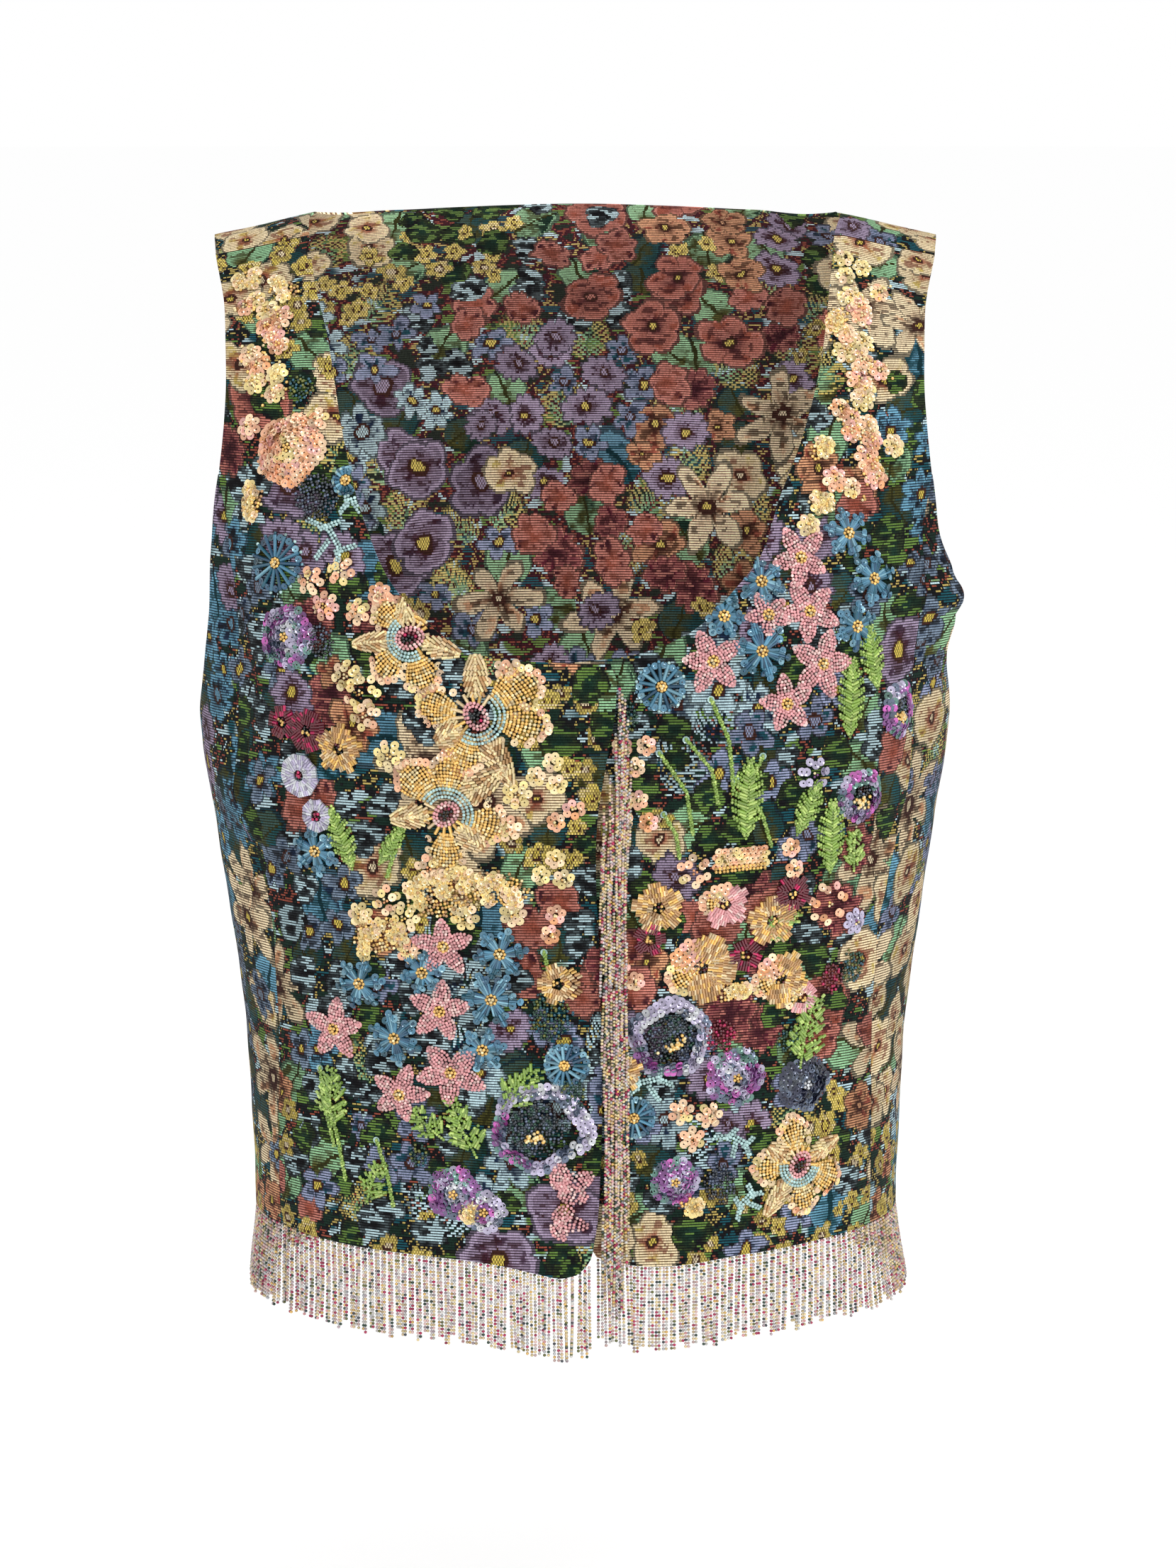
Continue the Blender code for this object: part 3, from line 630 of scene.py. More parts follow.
def sow(mesh, places, flowers):
    """Gives each face the woven flower on it, in each layer, as its corners' places in that flower."""
    corners = corner_points(mesh)
    totals = np.empty(len(mesh.polygons), np.int32)
    mesh.polygons.foreach_get("loop_total", totals)
    face_of = np.repeat(np.arange(len(totals)), totals)
    at = places[corners]
    middle = np.stack([np.bincount(face_of, at[:, axis]) / totals for axis in range(2)], -1)
    for layer in range(LAYERS):
        best = np.full(len(totals), np.inf)
        chosen = np.full(len(totals), -1)
        own = [item for item in flowers if item[0] == layer]
        for number, (*_, covered, half) in enumerate(own):
            gap = np.linalg.norm(middle - covered, axis=1)
            share = gap / half
            near = (gap < half * CARRIED + CELL) & (share < best)
            best[near] = share[near]
            chosen[near] = number
        rows = []
        for _, kind, place, radius, angle, tone, _, _ in own:
            petals, power, depth, heart, texture, rim_from, hatch, _, _, outer, inner, lines = WOVEN[kind]
            cos, sin = np.cos(angle) / radius, np.sin(angle) / radius
            paint = [np.array(light_of(THREADS[name])) * (1 + 0.2 * tone) for name in (outer, inner, lines)]
            rows.append([*place, cos, sin, tone, petals, power, depth, texture,
                         *paint[0], heart, *paint[1], hatch, *paint[2], rim_from])
        rows.append(NO_FLOWER)
        table = np.array(rows)[chosen[face_of]]
        away = at - table[:, :2]
        x = away[:, 0] * table[:, 2] + away[:, 1] * table[:, 3]
        y = away[:, 1] * table[:, 2] - away[:, 0] * table[:, 3]
        carried(mesh, f"place_{layer}", "FLOAT_VECTOR", np.stack([x, y, table[:, 8]], -1))
        carried(mesh, f"turn_{layer}", "FLOAT_VECTOR", table[:, 2:5])
        carried(mesh, f"form_{layer}", "FLOAT_VECTOR", table[:, 5:8])
        carried(mesh, f"outer_{layer}", "FLOAT_COLOR", table[:, 9:13])
        carried(mesh, f"inner_{layer}", "FLOAT_COLOR", table[:, 13:17])
        carried(mesh, f"rim_{layer}", "FLOAT_COLOR", table[:, 17:21])


def cut(bm, outline):
    """One face of the outline, cut into small square cells."""
    bm.faces.new([bm.verts.new((x, y, 0)) for x, y in outline])
    low, high = outline.min(axis=0), outline.max(axis=0)
    for axis, across in enumerate(((1, 0, 0), (0, 1, 0))):
        for place in np.arange(low[axis] + CELL * 0.45, high[axis], CELL):
            whole = bm.verts[:] + bm.edges[:] + bm.faces[:]
            point = Vector(across) * place
            bmesh.ops.bisect_plane(bm, geom=whole, dist=2e-5, plane_co=point, plane_no=across)


def linked(name, data):
    """A new object of a mesh, a light or a camera, put in the scene."""
    made = bpy.data.objects.new(name, data)
    bpy.context.collection.objects.link(made)
    return made


def cloth(name, node, side, outline, lift, beds, seed):
    """A thin shell of tapestry on the form: outer face, inner face and turned edge."""
    bm = bmesh.new()
    cut(bm, outline)
    made = bmesh.ops.extrude_face_region(bm, geom=list(bm.faces), use_keep_orig=True)
    lower = [item for item in made["geom"] if isinstance(item, bmesh.types.BMVert)]
    bmesh.ops.translate(bm, verts=lower, vec=(0, 0, -WALL))
    bmesh.ops.recalc_face_normals(bm, faces=bm.faces)
    bm.normal_update()
    for face in bm.faces:
        face.material_index = 0 if face.normal.z > 0.5 else 1
        face.smooth = True
    flat = np.array([vert.co for vert in bm.verts])
    places = cloth_place(side, flat)
    flat[:, 2] += lift(flat[:, 0])
    for vert, place in zip(bm.verts, wrapped(side, flat)):
        vert.co = place
    if side > 0:
        bmesh.ops.reverse_faces(bm, faces=bm.faces)
    mesh = bpy.data.meshes.new(name)
    bm.to_mesh(mesh)
    bm.free()
    mesh.set_sharp_from_angle(angle=1.0)
    weave = places[corner_points(mesh)].astype(np.float32)
    mesh.uv_layers.new(name="weave").data.foreach_set("uv", weave.ravel())
    flowers = sown(side, outline, beds, seed)
    sow(mesh, places, flowers)
    mesh.materials.append(tapestry)
    mesh.materials.append(tapestry_inside)
    piece = linked(name, mesh)
    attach(piece, "root")
    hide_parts(node)
    edge = cloth_place(side, outline)
    following = np.roll(edge, -1, axis=0)
    area = abs((edge[:, 0] * following[:, 1] - following[:, 0] * edge[:, 1]).sum()) / 2
    size = edge.max(axis=0) - edge.min(axis=0)
    print(f"{name}: cut {size[0]:.3f} x {size[1]:.3f} m, {area:.4f} m2, {len(flowers)} woven flowers")
    return piece, size, area


class Value:
    """A socket of a shader, so that maths on it is written as an expression."""

    def __init__(self, finish, socket):
        self.finish = finish
        self.socket = socket

    def maths(self, operation, *others, swap=False):
        terms = [self, *others]
        if swap:
            terms.reverse()
        return self.finish.node("ShaderNodeMath", {"operation": operation}, dict(enumerate(terms)))

    def __add__(self, other):
        return self.maths("ADD", other)

    def __sub__(self, other):
        return self.maths("SUBTRACT", other)

    def __rsub__(self, other):
        return self.maths("SUBTRACT", other, swap=True)

    def __mul__(self, other):
        return self.maths("MULTIPLY", other)

    def __truediv__(self, other):
        return self.maths("DIVIDE", other)

    def __pow__(self, other):
        return self.maths("POWER", other)

    def __gt__(self, other):
        return self.maths("GREATER_THAN", other)

    def __lt__(self, other):
        return self.maths("LESS_THAN", other)

    def __abs__(self):
        return self.maths("ABSOLUTE")

    def __floor__(self):
        return self.maths("FLOOR")

    __radd__ = __add__
    __rmul__ = __mul__

    def fraction(self):
        return self.maths("FRACT")

    def cosine(self):
        return self.maths("COSINE")

    def rising(self, start, end):
        """0 up to start, 1 from end on, and smooth between them."""
        sockets = {"Value": self, "From Min": start, "From Max": end}
        return self.finish.node("ShaderNodeMapRange", {"interpolation_type": "SMOOTHSTEP"}, sockets)

    def parts(self):
        return [Value(self.finish, socket) for socket in self.finish.node(
            "ShaderNodeSeparateXYZ", {}, {"Vector": self}).socket.node.outputs]


class Finish:
    """One material, and the nodes that make it."""

    def __init__(self, name, fixed):
        self.material = bpy.data.materials.new(name)
        self.material.use_nodes = True
        self.tree = self.material.node_tree
        self.shader = self.tree.nodes["Principled BSDF"]
        for key, value in fixed.items():
            self.shader.inputs[key].default_value = value

    def node(self, kind, settings, sockets, out=0):
        """Adds a node: its type, its settings, then the values or links of its sockets."""
        made = self.tree.nodes.new(kind)
        for key, value in settings.items():
            setattr(made, key, value)
        for key, value in sockets.items():
            self.feed(made.inputs[key], value)
        return Value(self, made.outputs[out])

    def feed(self, socket, value):
        if isinstance(value, Value):
            self.tree.links.new(value.socket, socket)
        else:
            socket.default_value = value

    def attribute(self, name, out="Vector"):
        return self.node("ShaderNodeAttribute", {"attribute_name": name}, {}, out)

    def mixed(self, share, first, second):
        """The first colour where share is 0, and the second where it is 1."""
        return self.node("ShaderNodeMix", {"data_type": "RGBA"}, {0: share, 6: first, 7: second}, 2)

    def shaded(self, colour, amount):
        """A colour made darker or lighter by an amount."""
        return self.node("ShaderNodeVectorMath", {"operation": "SCALE"}, {0: colour, "Scale": amount})

    def joined(self, x, y, z=0.0):
        return self.node("ShaderNodeCombineXYZ", {}, {"X": x, "Y": y, "Z": z})

    def chance(self, place):
        """An even random number for each whole place."""
        return self.node("ShaderNodeTexWhiteNoise", {"noise_dimensions": "2D"}, {"Vector": place})

    def cloudy(self, place, scale, detail, out=0):
        sockets = {"Vector": place, "Scale": scale, "Detail": detail}
        return self.node("ShaderNodeTexNoise", {"noise_dimensions": "2D"}, sockets, out)


# The weave, in metres: a row of weft and the bright share of it, a warp thread, and the dots of some parts.
ROW = 0.00125
LINE = 0.62
COLUMN = 0.00046
DOT = 0.00135
# How far the rows slip against each other, and how far a flower's shape wanders.
RAGGED = 0.0016
WARP = 0.0075
# How finely the clouds of colour change, in waves a metre.
DRIFT = 14.0
HUES = 40.0
CLOUDS = 75.0
PATCHES = 110.0
STROKES = 260.0
GRAIN = 900.0


def rgba(name):
    """A thread's colour, as a shader's socket takes it."""
    return (*light_of(THREADS[name]), 1.0)


def woven_layer(finish, number, under, shift, line, dots, clouds, strokes):
    """One layer of woven flowers over the colours under it. Each face carries its flower's place and form."""
    place, own_turn, form = (
        finish.attribute(f"{word}_{number}").parts() for word in ("place", "turn", "form"))
    across, up = shift
    x = place[0] + across * own_turn[0] + up * own_turn[1]
    y = place[1] + up * own_turn[0] - across * own_turn[1]
    radius = (x * x + y * y) ** 0.5
    angle = y.maths("ARCTAN2", x)
    lobe = abs((angle * form[0] * 0.5).cosine()) ** form[1]
    uneven = 1 + 0.10 * (angle * 2 + own_turn[2] * 9).cosine()
    part = radius / (1.0001 - form[2] * (1 - lobe)) * uneven
    words = ("outer", "inner", "rim")
    outer, inner, lines = (finish.attribute(f"{word}_{number}", "Color") for word in words)
    heart, hatch, rim_from = (finish.attribute(f"{word}_{number}", "Alpha") for word in words)
    leaf = form[0] < 1.5
    colour = finish.mixed(part.rising(0.15, 0.75), inner, outer)
    groove = (1 - lobe.rising(0.10, 0.50)) * part.rising(0.15, 0.45) * (1 - leaf)
    colour = finish.mixed(groove * 0.9, colour, finish.shaded(inner, 0.5))
    colour = finish.mixed(leaf * (y > 0) * 0.8, colour, inner)
    colour = finish.shaded(colour, 1 - leaf * (1 - line) * 0.55)
    side = (angle * form[0] + own_turn[2] * 3).maths("SINE") * 0.5 + 0.5
    lit = part.rising(0.10, 0.60) * (clouds + 0.30 * side).rising(0.44, 0.58) * hatch * (1 - groove * 0.7)
    colour = finish.mixed(lit * (1 - line) * 0.85, colour, finish.shaded(inner, 0.45))
    colour = finish.mixed(lit * line, colour, lines)
    deep = (strokes > 0.60) * (1 - part.rising(0.7, 0.8)) * 0.75
    colour = finish.mixed(deep, colour, finish.shaded(inner, 0.6))
    bare = rim_from > 1.5
    colour = finish.mixed((strokes < 0.37 + bare * 0.10) * line * (0.60 + bare * 0.25), colour, lines)
    colour = finish.mixed((part > rim_from) * (0.20 + 0.70 * line), colour, lines)
    colour = finish.mixed(leaf * (abs(y) < 0.03), colour, finish.shaded(inner, 0.4))
    colour = finish.mixed((radius < heart + 0.10) * (heart > 0.01), colour, rgba("brown"))
    dotted = (place[2] > 1.5) * dots * 0.8
    colour = finish.mixed(dotted, colour, rgba("brown"))
    pollen = finish.mixed(own_turn[2] > -0.1, lines, rgba("yellow"))
    colour = finish.mixed(radius < heart, colour, finish.mixed(dots, pollen, rgba("brown")))
    colour = finish.mixed((part > 0.94) * (1 - 0.3 * line), colour, rgba("ground"))
    bars = (place[2] > 0.5) * (place[2] < 1.5) * (((x - abs(y) * 0.7) * 9).fraction() > 0.55)
    return finish.mixed((part < 1.04) * (1 - bars), under, colour)


def tapestry_finish(name, ground, brightness, muting):
    """Flowered tapestry: lines of coloured weft over a dark ground, which step and hatch each flower."""
    fixed = {"Roughness": 0.85, "Sheen Weight": 0.02, "Sheen Roughness": 0.45, "Specular IOR Level": 0.08}
    finish = Finish(name, fixed)
    cloth_at = finish.node("ShaderNodeUVMap", {"uv_map": "weave"}, {})
    u, v, _ = cloth_at.parts()
    row = math.floor(v / ROW)
    # The bright share of each weft row. The gaps between rows are darker below, partly the dark ground that
    # shows there and partly painted shade in the grooves between the rows.
    line = (v / ROW).fraction() < LINE
    slip = (finish.chance(finish.joined(row, 3.0)) - 0.5) * RAGGED
    column = math.floor((u + slip) / COLUMN)
    snapped_u = (column + 0.5) * COLUMN - slip
    snapped_v = (row + 0.5) * ROW
    snapped = finish.joined(snapped_u, snapped_v)
    speck = finish.chance(finish.joined(row, column))
    dots = ((u / DOT + row * 0.5).fraction() < 0.38) * line

    bend_u, bend_v, clouds = finish.cloudy(snapped, CLOUDS, 3.0, "Color").parts()
    shift = (snapped_u - u + (bend_u - 0.5) * WARP, snapped_v - v + (bend_v - 0.5) * WARP)
    patch = finish.cloudy(finish.joined(snapped_u * 0.7, snapped_v * 1.6), PATCHES, 3.0)
    hue = finish.cloudy(finish.joined(snapped_u + 4.0, snapped_v), HUES, 1.0)
    cool = finish.mixed(hue.rising(0.42, 0.48), rgba("teal"), rgba("ice"))
    cool = finish.mixed(hue.rising(0.55, 0.60), cool, rgba("leaf"))
    warm = finish.mixed(hue > 0.5, rgba("straw"), rgba("rust"))
    strokes = finish.cloudy(finish.joined(snapped_u * 0.5, snapped_v + 2.0), STROKES, 1.0)
    colour = finish.mixed((patch > 0.56) * line, ground, cool)
    colour = finish.mixed((patch < 0.41) * 0.75, colour, rgba("bottle"))
    colour = finish.mixed((abs(patch - 0.475) < 0.022) * line * 0.85, colour, warm)
    for number in reversed(range(LAYERS)):
        colour = woven_layer(finish, number, colour, shift, line, dots, clouds, strokes)
    grey = finish.node("ShaderNodeRGBToBW", {}, {"Color": colour})
    # On the inside, muting greys the colours towards a warm grey: partly the reverse's own look, partly
    # painted shade.
    colour = finish.mixed(muting, colour, finish.joined(grey * 1.15, grey * 0.9, grey * 0.82))
    broad = finish.cloudy(cloth_at, DRIFT, 1.0)
    # Brightness scales every colour; the inside's larger brightness is painted light, which stands in for
    # light reaching into the back.
    amount = (0.32 + 0.36 * speck + 0.52 * line + 0.40 * (broad - 0.5)) * brightness
    finish.feed(finish.shader.inputs["Base Color"], finish.shaded(colour, amount))

    weft = abs((v / ROW * math.pi).maths("SINE")) ** 0.6
    warp = abs((u / (COLUMN * 2) * math.pi).maths("SINE"))
    height = weft * 0.7 + warp * 0.3 + speck * 0.25
    sockets = {"Strength": 0.55, "Distance": 0.0004, "Height": height}
    finish.feed(finish.shader.inputs["Normal"], finish.node("ShaderNodeBump", {}, sockets))
    return finish.material


def tinted(name, roughness, uneven, coat):
    """Glass or foil that takes its colour, and how metallic it is, from each bead's own tint."""
    finish = Finish(name, {"Coat Weight": coat, "Coat Roughness": 0.05, "Specular IOR Level": 0.6})
    colour = finish.attribute("tint", "Color")
    place = finish.node("ShaderNodeTexCoord", {}, {}, "Object")
    grain = finish.node("ShaderNodeTexNoise", {}, {"Vector": place, "Scale": GRAIN, "Detail": 1.0})
    finish.feed(finish.shader.inputs["Base Color"], finish.shaded(colour, 1 - uneven / 2 + uneven * grain))
    finish.feed(finish.shader.inputs["Metallic"], finish.attribute("tint", "Alpha"))
    finish.feed(finish.shader.inputs["Roughness"], roughness * 0.6 + roughness * 0.8 * grain)
    return finish.material


# The cloth's face, and its inside, whose ground is redder, as the reverse of the weave. The inside is also
# greyer, partly its own look and partly painted shade, and brighter, as painted light that stands in for
# light reaching into the back.
tapestry = tapestry_finish("tapestry", rgba("ground"), 0.88, 0.0)
tapestry_inside = tapestry_finish("tapestry_inside", rgba("maroon"), 1.36, 0.10)
bead_glass = tinted("bead_glass", 0.20, 0.40, 0.3)
sequin_foil = tinted("sequin_foil", 0.22, 0.30, 0.5)


def template(shape):
    """A small shape that is repeated: a bead, a bugle lying along X, or a cupped sequin with its hole."""
    bm = bmesh.new()
    if shape == "bead":
        bmesh.ops.create_icosphere(bm, subdivisions=1, radius=1.0)
    elif shape == "bugle":
        bmesh.ops.create_cone(bm, cap_ends=True, segments=6, radius1=1.0, radius2=1.0, depth=1.0)
        bmesh.ops.rotate(bm, verts=bm.verts, matrix=Euler((0, math.pi / 2, 0)).to_matrix())
    else:
        rings = [(0.2, -0.06), (0.62, -0.06), (1.0, 0.16), (0.62, -0.16)]
        verts = [bm.verts.new((x, 0, z)) for x, z in rings]
        edges = [bm.edges.new(pair) for pair in zip(verts, verts[1:] + verts[:1])]
        bmesh.ops.spin(bm, geom=verts + edges, axis=(0, 0, 1), cent=(0, 0, 0), angle=2 * math.pi,
                       steps=9, use_merge=True)
        bmesh.ops.recalc_face_normals(bm, faces=bm.faces)
    bmesh.ops.triangulate(bm, faces=bm.faces)
    points = np.array([vert.co for vert in bm.verts])
    faces = np.array([[vert.index for vert in face.verts] for face in bm.faces])
    bm.free()
    return points, faces


# How bright the colours of the sewn beads and of the fringe's beads are, set by the picture. The fringe's
# beads are made darker than sewn beads of the same colours, partly their own deeper tint and partly painted
# shade of the strands' dark edges and of the strands on one another.
SEWN_LIGHT = 0.80
FRINGE_LIGHT = 0.66
TEMPLATES = {shape: template(shape) for shape in ("bead", "bugle", "sequin")}

# The parts of the embroidery, in mm: the radius of a common sequin, the pitch of sequins that overlap, and
# the length of a short bugle.
SEQUIN = 2.0
SEQUIN_PITCH = 2.9
STITCH = 2.6


def spots_along(points, pitch):
    """Places at an even pitch along a line of points, from its start."""
    points = np.array(points, float)
    lengths = way_along(points)
    for along in np.arange(0, lengths[-1] + 1e-6, pitch):
        yield [np.interp(along, lengths, points[:, axis]) for axis in range(2)]


class Sewing:
    """Beads, bugles and sequins sewn on one cloth, noted flat and then set on the form all together."""

    def __init__(self, side, lift, seed):
        self.side = side
        self.lift = lift
        self.rng = np.random.default_rng(seed)
        self.rows = {shape: [] for shape in TEMPLATES}
        self.centre = np.zeros(2)
        self.local = np.eye(2)

    def at(self, across, down, angle=0.0):
        """Moves to a place of the cloth, in mm from the centre line and down from the ridge."""
        place = np.array([[turn_at(across / 1000, down / 1000) * REACH, -way_of(down / 1000), 0.0]])
        here = wrapped(self.side, place)[0]
        right = (wrapped(self.side, place + (TINY, 0, 0))[0] - here) / TINY
        up = (wrapped(self.side, place + (0, TINY, 0))[0] - here) / TINY
        level = right / np.linalg.norm(right)
        rise = up - level * (up @ level)
        rise /= np.linalg.norm(rise)
        metric = np.array([[right @ level, up @ level], [right @ rise, up @ rise]])
        rotation = np.array([[np.cos(angle), -np.sin(angle)], [np.sin(angle), np.cos(angle)]])
        self.centre = place[0, :2]
        self.local = np.linalg.inv(metric) @ rotation
        return self

    def note(self, shape, x, y, height, heading, lean, size, tint):
        """One bead, in mm from the present place. Its colour varies a little from its neighbours'."""
        flat = self.centre + self.local @ (x / 1000, y / 1000)
        toward = self.local @ (np.cos(heading), np.sin(heading))
        if not isinstance(tint, str):
            tint = tint[int(self.rng.integers(len(tint)))]
        red, green, blue, metal = BEADS[tint]
        vary = SEWN_LIGHT * (1 + 0.20 * self.rng.standard_normal())
        colour = np.array(light_of((red, green, blue))) * np.clip(vary, 0.45, 1.3)
        self.rows[shape].append((*flat, height / 1000, *toward, lean, *np.array(size) / 1000, *colour, metal))

    def bead(self, x, y, tint, radius=0.85, height=0.55):
        self.note("bead", x, y, height, self.rng.uniform(0, 6), 0.0, (radius, radius, radius * 0.86), tint)

    def bugle(self, start, end, tint, radius=0.62, height=0.6):
        (x0, y0), (x1, y1) = start, end
        length = max(math.hypot(x1 - x0, y1 - y0), 0.4)
        heading = math.atan2(y1 - y0, x1 - x0)
        self.note("bugle", (x0 + x1) / 2, (y0 + y1) / 2, height, heading, 0.0, (length, radius, radius), tint)

    def sequin(self, x, y, tint, radius=SEQUIN, height=0.6, heading=0.0, lean=0.0):
        lean += 0.14 * self.rng.standard_normal()
        self.note("sequin", x, y, height, heading, lean, (radius, radius, radius), tint)

    def stitch(self, x, y, heading, tint, radius, height):
        """A short bugle from a place, at a heading."""
        end = (x + STITCH * math.cos(heading), y + STITCH * math.sin(heading))
        self.bugle((x, y), end, tint, radius, height)

    def string(self, points, tint, radius=0.85, pitch=1.6, height=0.55):
        """Beads along a line."""
        for x, y in spots_along(points, pitch):
            self.bead(x + self.rng.normal(0, 0.07), y + self.rng.normal(0, 0.07), tint, radius, height)


def stamped(shape, side, lift, rows):
    """All copies of one template, as points, faces and tints."""
    points, faces = TEMPLATES[shape]
    rows = np.array(rows)
    flat = np.column_stack([rows[:, :2], rows[:, 2] + lift(rows[:, 0])])
    tiny = 2e-5
    here = wrapped(side, flat)
    toward = wrapped(side, flat + np.column_stack([rows[:, 3:5] * tiny, np.zeros(len(rows))])) - here
    out = wrapped(side, flat + (0, 0, tiny)) - here
    out /= np.linalg.norm(out, axis=1, keepdims=True)
    toward -= out * (toward * out).sum(axis=1, keepdims=True)
    toward /= np.linalg.norm(toward, axis=1, keepdims=True)
    sideways = np.cross(out, toward)
    cos, sin = np.cos(rows[:, 5, None]), np.sin(rows[:, 5, None])
    axes = np.stack([toward * cos - out * sin, sideways, out * cos + toward * sin], 1)
    placed = np.einsum("vk,nk,nkc->nvc", points, rows[:, 6:9], axes) + here[:, None]
    many = faces[None] + (np.arange(len(rows)) * len(points))[:, None, None]
    tints = np.repeat(rows[:, 9:13], len(points), axis=0)
    return placed.reshape(-1, 3), many.reshape(-1, 3), tints


def joined_piece(name, material, batches, node=None):
    """One object of many beads: batches of (shape, side, lift, rows)."""
    points, faces, tints, offset = [], [], [], 0
    for shape, side, lift, rows in batches:
        if not rows:
            continue
        new_points, new_faces, new_tints = stamped(shape, side, lift, rows)
        points.append(new_points)
        faces.append(new_faces + offset)
        tints.append(new_tints)
        offset += len(new_points)
    points, faces, tints = np.concatenate(points), np.concatenate(faces), np.concatenate(tints)
    mesh = bpy.data.meshes.new(name)
    mesh.from_pydata(points.tolist(), [], faces.tolist())
    mesh.shade_smooth()
    mesh.set_sharp_from_angle(angle=0.95)
    layer = mesh.attributes.new("tint", "FLOAT_COLOR", "POINT")
    layer.data.foreach_set("color", np.ascontiguousarray(tints, np.float32).ravel())
    mesh.materials.append(material)
    piece = linked(name, mesh)
    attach(piece, "root")
    if node:
        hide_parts(node)
    print(f"{name}: {len(faces)} triangles")
    return piece


def around(count, start=0.0):
    """Angles at an even pitch round a circle."""
    return [start + 2 * math.pi * number / count for number in range(count)]


def polar(radius, angle):
    """The place at a distance and an angle."""
    return radius * math.cos(angle), radius * math.sin(angle)


def gold_heart(sew, ring=2.2, tint="gold"):
    """Two rings of gold beads round one more."""
    for angle in around(8):
        sew.bead(*polar(ring, angle), tint, 0.92, 1.5)
    for angle in around(3, 0.5):
        sew.bead(*polar(ring * 0.4, angle), ("gold", "pale_gold"), 0.90, 2.3)


def petal_fill(long, start, half, step, across):
    """Places that fill one petal, from its root out: along it, aside, and how high it swells there."""
    spots = []
    for along in np.arange(start, long, step):
        part = (along - start * 0.7) / (long - start * 0.6)
        wide = half * math.sin(math.pi * min(part * 0.86 + 0.12, 1)) ** 0.8
        count = max(int(round(wide * 2 / across)) + 1, 1)
        for aside in np.linspace(-wide, wide, count) if count > 1 else (0.0,):
            spots.append((along, aside, 0.7 * (1 - (aside / (half + 0.6)) ** 2)))
    return spots


def turned(along, aside, angle):
    """The place that lies along and beside a line from the centre at an angle."""
    cos, sin = math.cos(angle), math.sin(angle)
    return along * cos - aside * sin, along * sin + aside * cos


def beaded_petal(sew, long, start, half, angle, tint):
    """One petal filled with beads."""
    for along, aside, bulge in petal_fill(long, start, half, 1.45, 1.5):
        x, y = turned(along, aside, angle)
        sew.bead(x + sew.rng.normal(0, 0.12), y + sew.rng.normal(0, 0.12), tint, 0.90, 0.5 + bulge)


def sequin_ring(sew, x, y, count, start, far, tint, radius, height, lean):
    """A ring of sequins that lean outwards."""
    for angle in around(count, start):
        dx, dy = polar(far, angle)
        sew.sequin(x + dx, y + dy, tint, radius, height, angle, lean)


def star_flower(sew, size, tint, petals=5):
    """Long pointed petals filled with beads, and a gold heart."""
    for angle in around(petals, sew.rng.uniform(0, 1)):
        heading = angle + sew.rng.normal(0, 0.08)
        long = size * sew.rng.uniform(0.95, 1.18)
        beaded_petal(sew, long, 3.0, 0.27 * size, heading, tint)
        sew.sequin(*polar(long * 0.97, heading), tint, 1.5, 1.1, angle, 0.3)
    gold_heart(sew)


def bugle_star(sew, size, tint, petals=6):
    """Petals of bugles laid side by side from the heart outwards, cupped sequins on and round them."""
    for angle in around(petals, sew.rng.uniform(0, 1)):
        for fan in (-0.30, -0.15, 0.0, 0.15, 0.30):
            end = size * (1.0 - 0.9 * abs(fan)) * sew.rng.uniform(0.9, 1.05)
            middle = polar(size * 0.58, angle + fan)
            sew.bugle(polar(2.7, angle + fan * 1.4), middle, tint, 0.74, 0.9)
            sew.bugle(middle, polar(end, angle + fan * 0.62), tint, 0.74, 0.8)
        for far, fan in ((0.94, 0.0), (0.72, 0.26), (0.74, -0.24)):
            sew.sequin(*polar(size * far, angle + fan), tint, 1.8, 1.1, angle, 0.35)
    gold_heart(sew)


def bugle_petals(sew, size, tint, rim, petals=5, heart="gold"):
    """A round flower of short bugles. One with a rim has a petal of sequins and a shell petal too."""
    for number, angle in enumerate(around(petals, sew.rng.uniform(0, 1))):
        if rim and number == 1:
            for along, aside, bulge in petal_fill(size * 0.96, 3.0, 0.42 * size, 2.6, 2.6):
                sew.sequin(*turned(along, aside, angle), rim, SEQUIN, 0.6 + bulge, angle, 0.35)
        elif rim and number == 2:
            shell_petal(sew, angle, 3.0, size * 0.90, size * 0.36)
        else:
            for along, aside, bulge in petal_fill(size * 0.94, 2.6, 0.46 * size, 2.3, 1.2):
                height = 0.5 + bulge + 0.3 * sew.rng.random()
                sew.stitch(*turned(along, aside, angle), angle + 0.35 * aside / size, tint, 0.68, height)
    scattered(sew, size * 0.26, ("jet", "wine", "jet"), 1.5, 0.9, 0.8)
    for _ in range(4):
        sew.bead(*sew.rng.uniform(-1.9, 1.9, 2), heart, 0.85, 1.8)


def spoked_flower(sew, size, tint, spokes=15):
    """A daisy of bugles, each ending in a bead."""
    for angle in around(spokes):
        sew.bugle(polar(2.8, angle), polar(size - 1.8, angle), tint, 0.85, 0.9)
        sew.bead(*polar(size - 1.0, angle), "aqua" if sew.rng.random() < 0.4 else tint, 0.9, 0.8)
        sew.sequin(*polar(size * 0.80, angle + 0.2), tint, 1.7, 0.5, angle, 0.25)
    gold_heart(sew, 1.9)


def blossom(sew, size, tint, heart="gold", petals=7):
    """A small flower of overlapping cupped sequins round a few beads."""
    for ring, far in enumerate((size - 1.9, size - 4.0)):
        if far > 1.2:
            start = sew.rng.uniform(0, 1)
            sequin_ring(sew, 0, 0, petals - 2 * ring, start, far, tint, 2.05, 0.8 + 0.6 * ring, 0.30)
    for angle in around(3):
        sew.bead(*polar(0.95, angle), (heart, "pale_gold"), 0.75, 2.2)


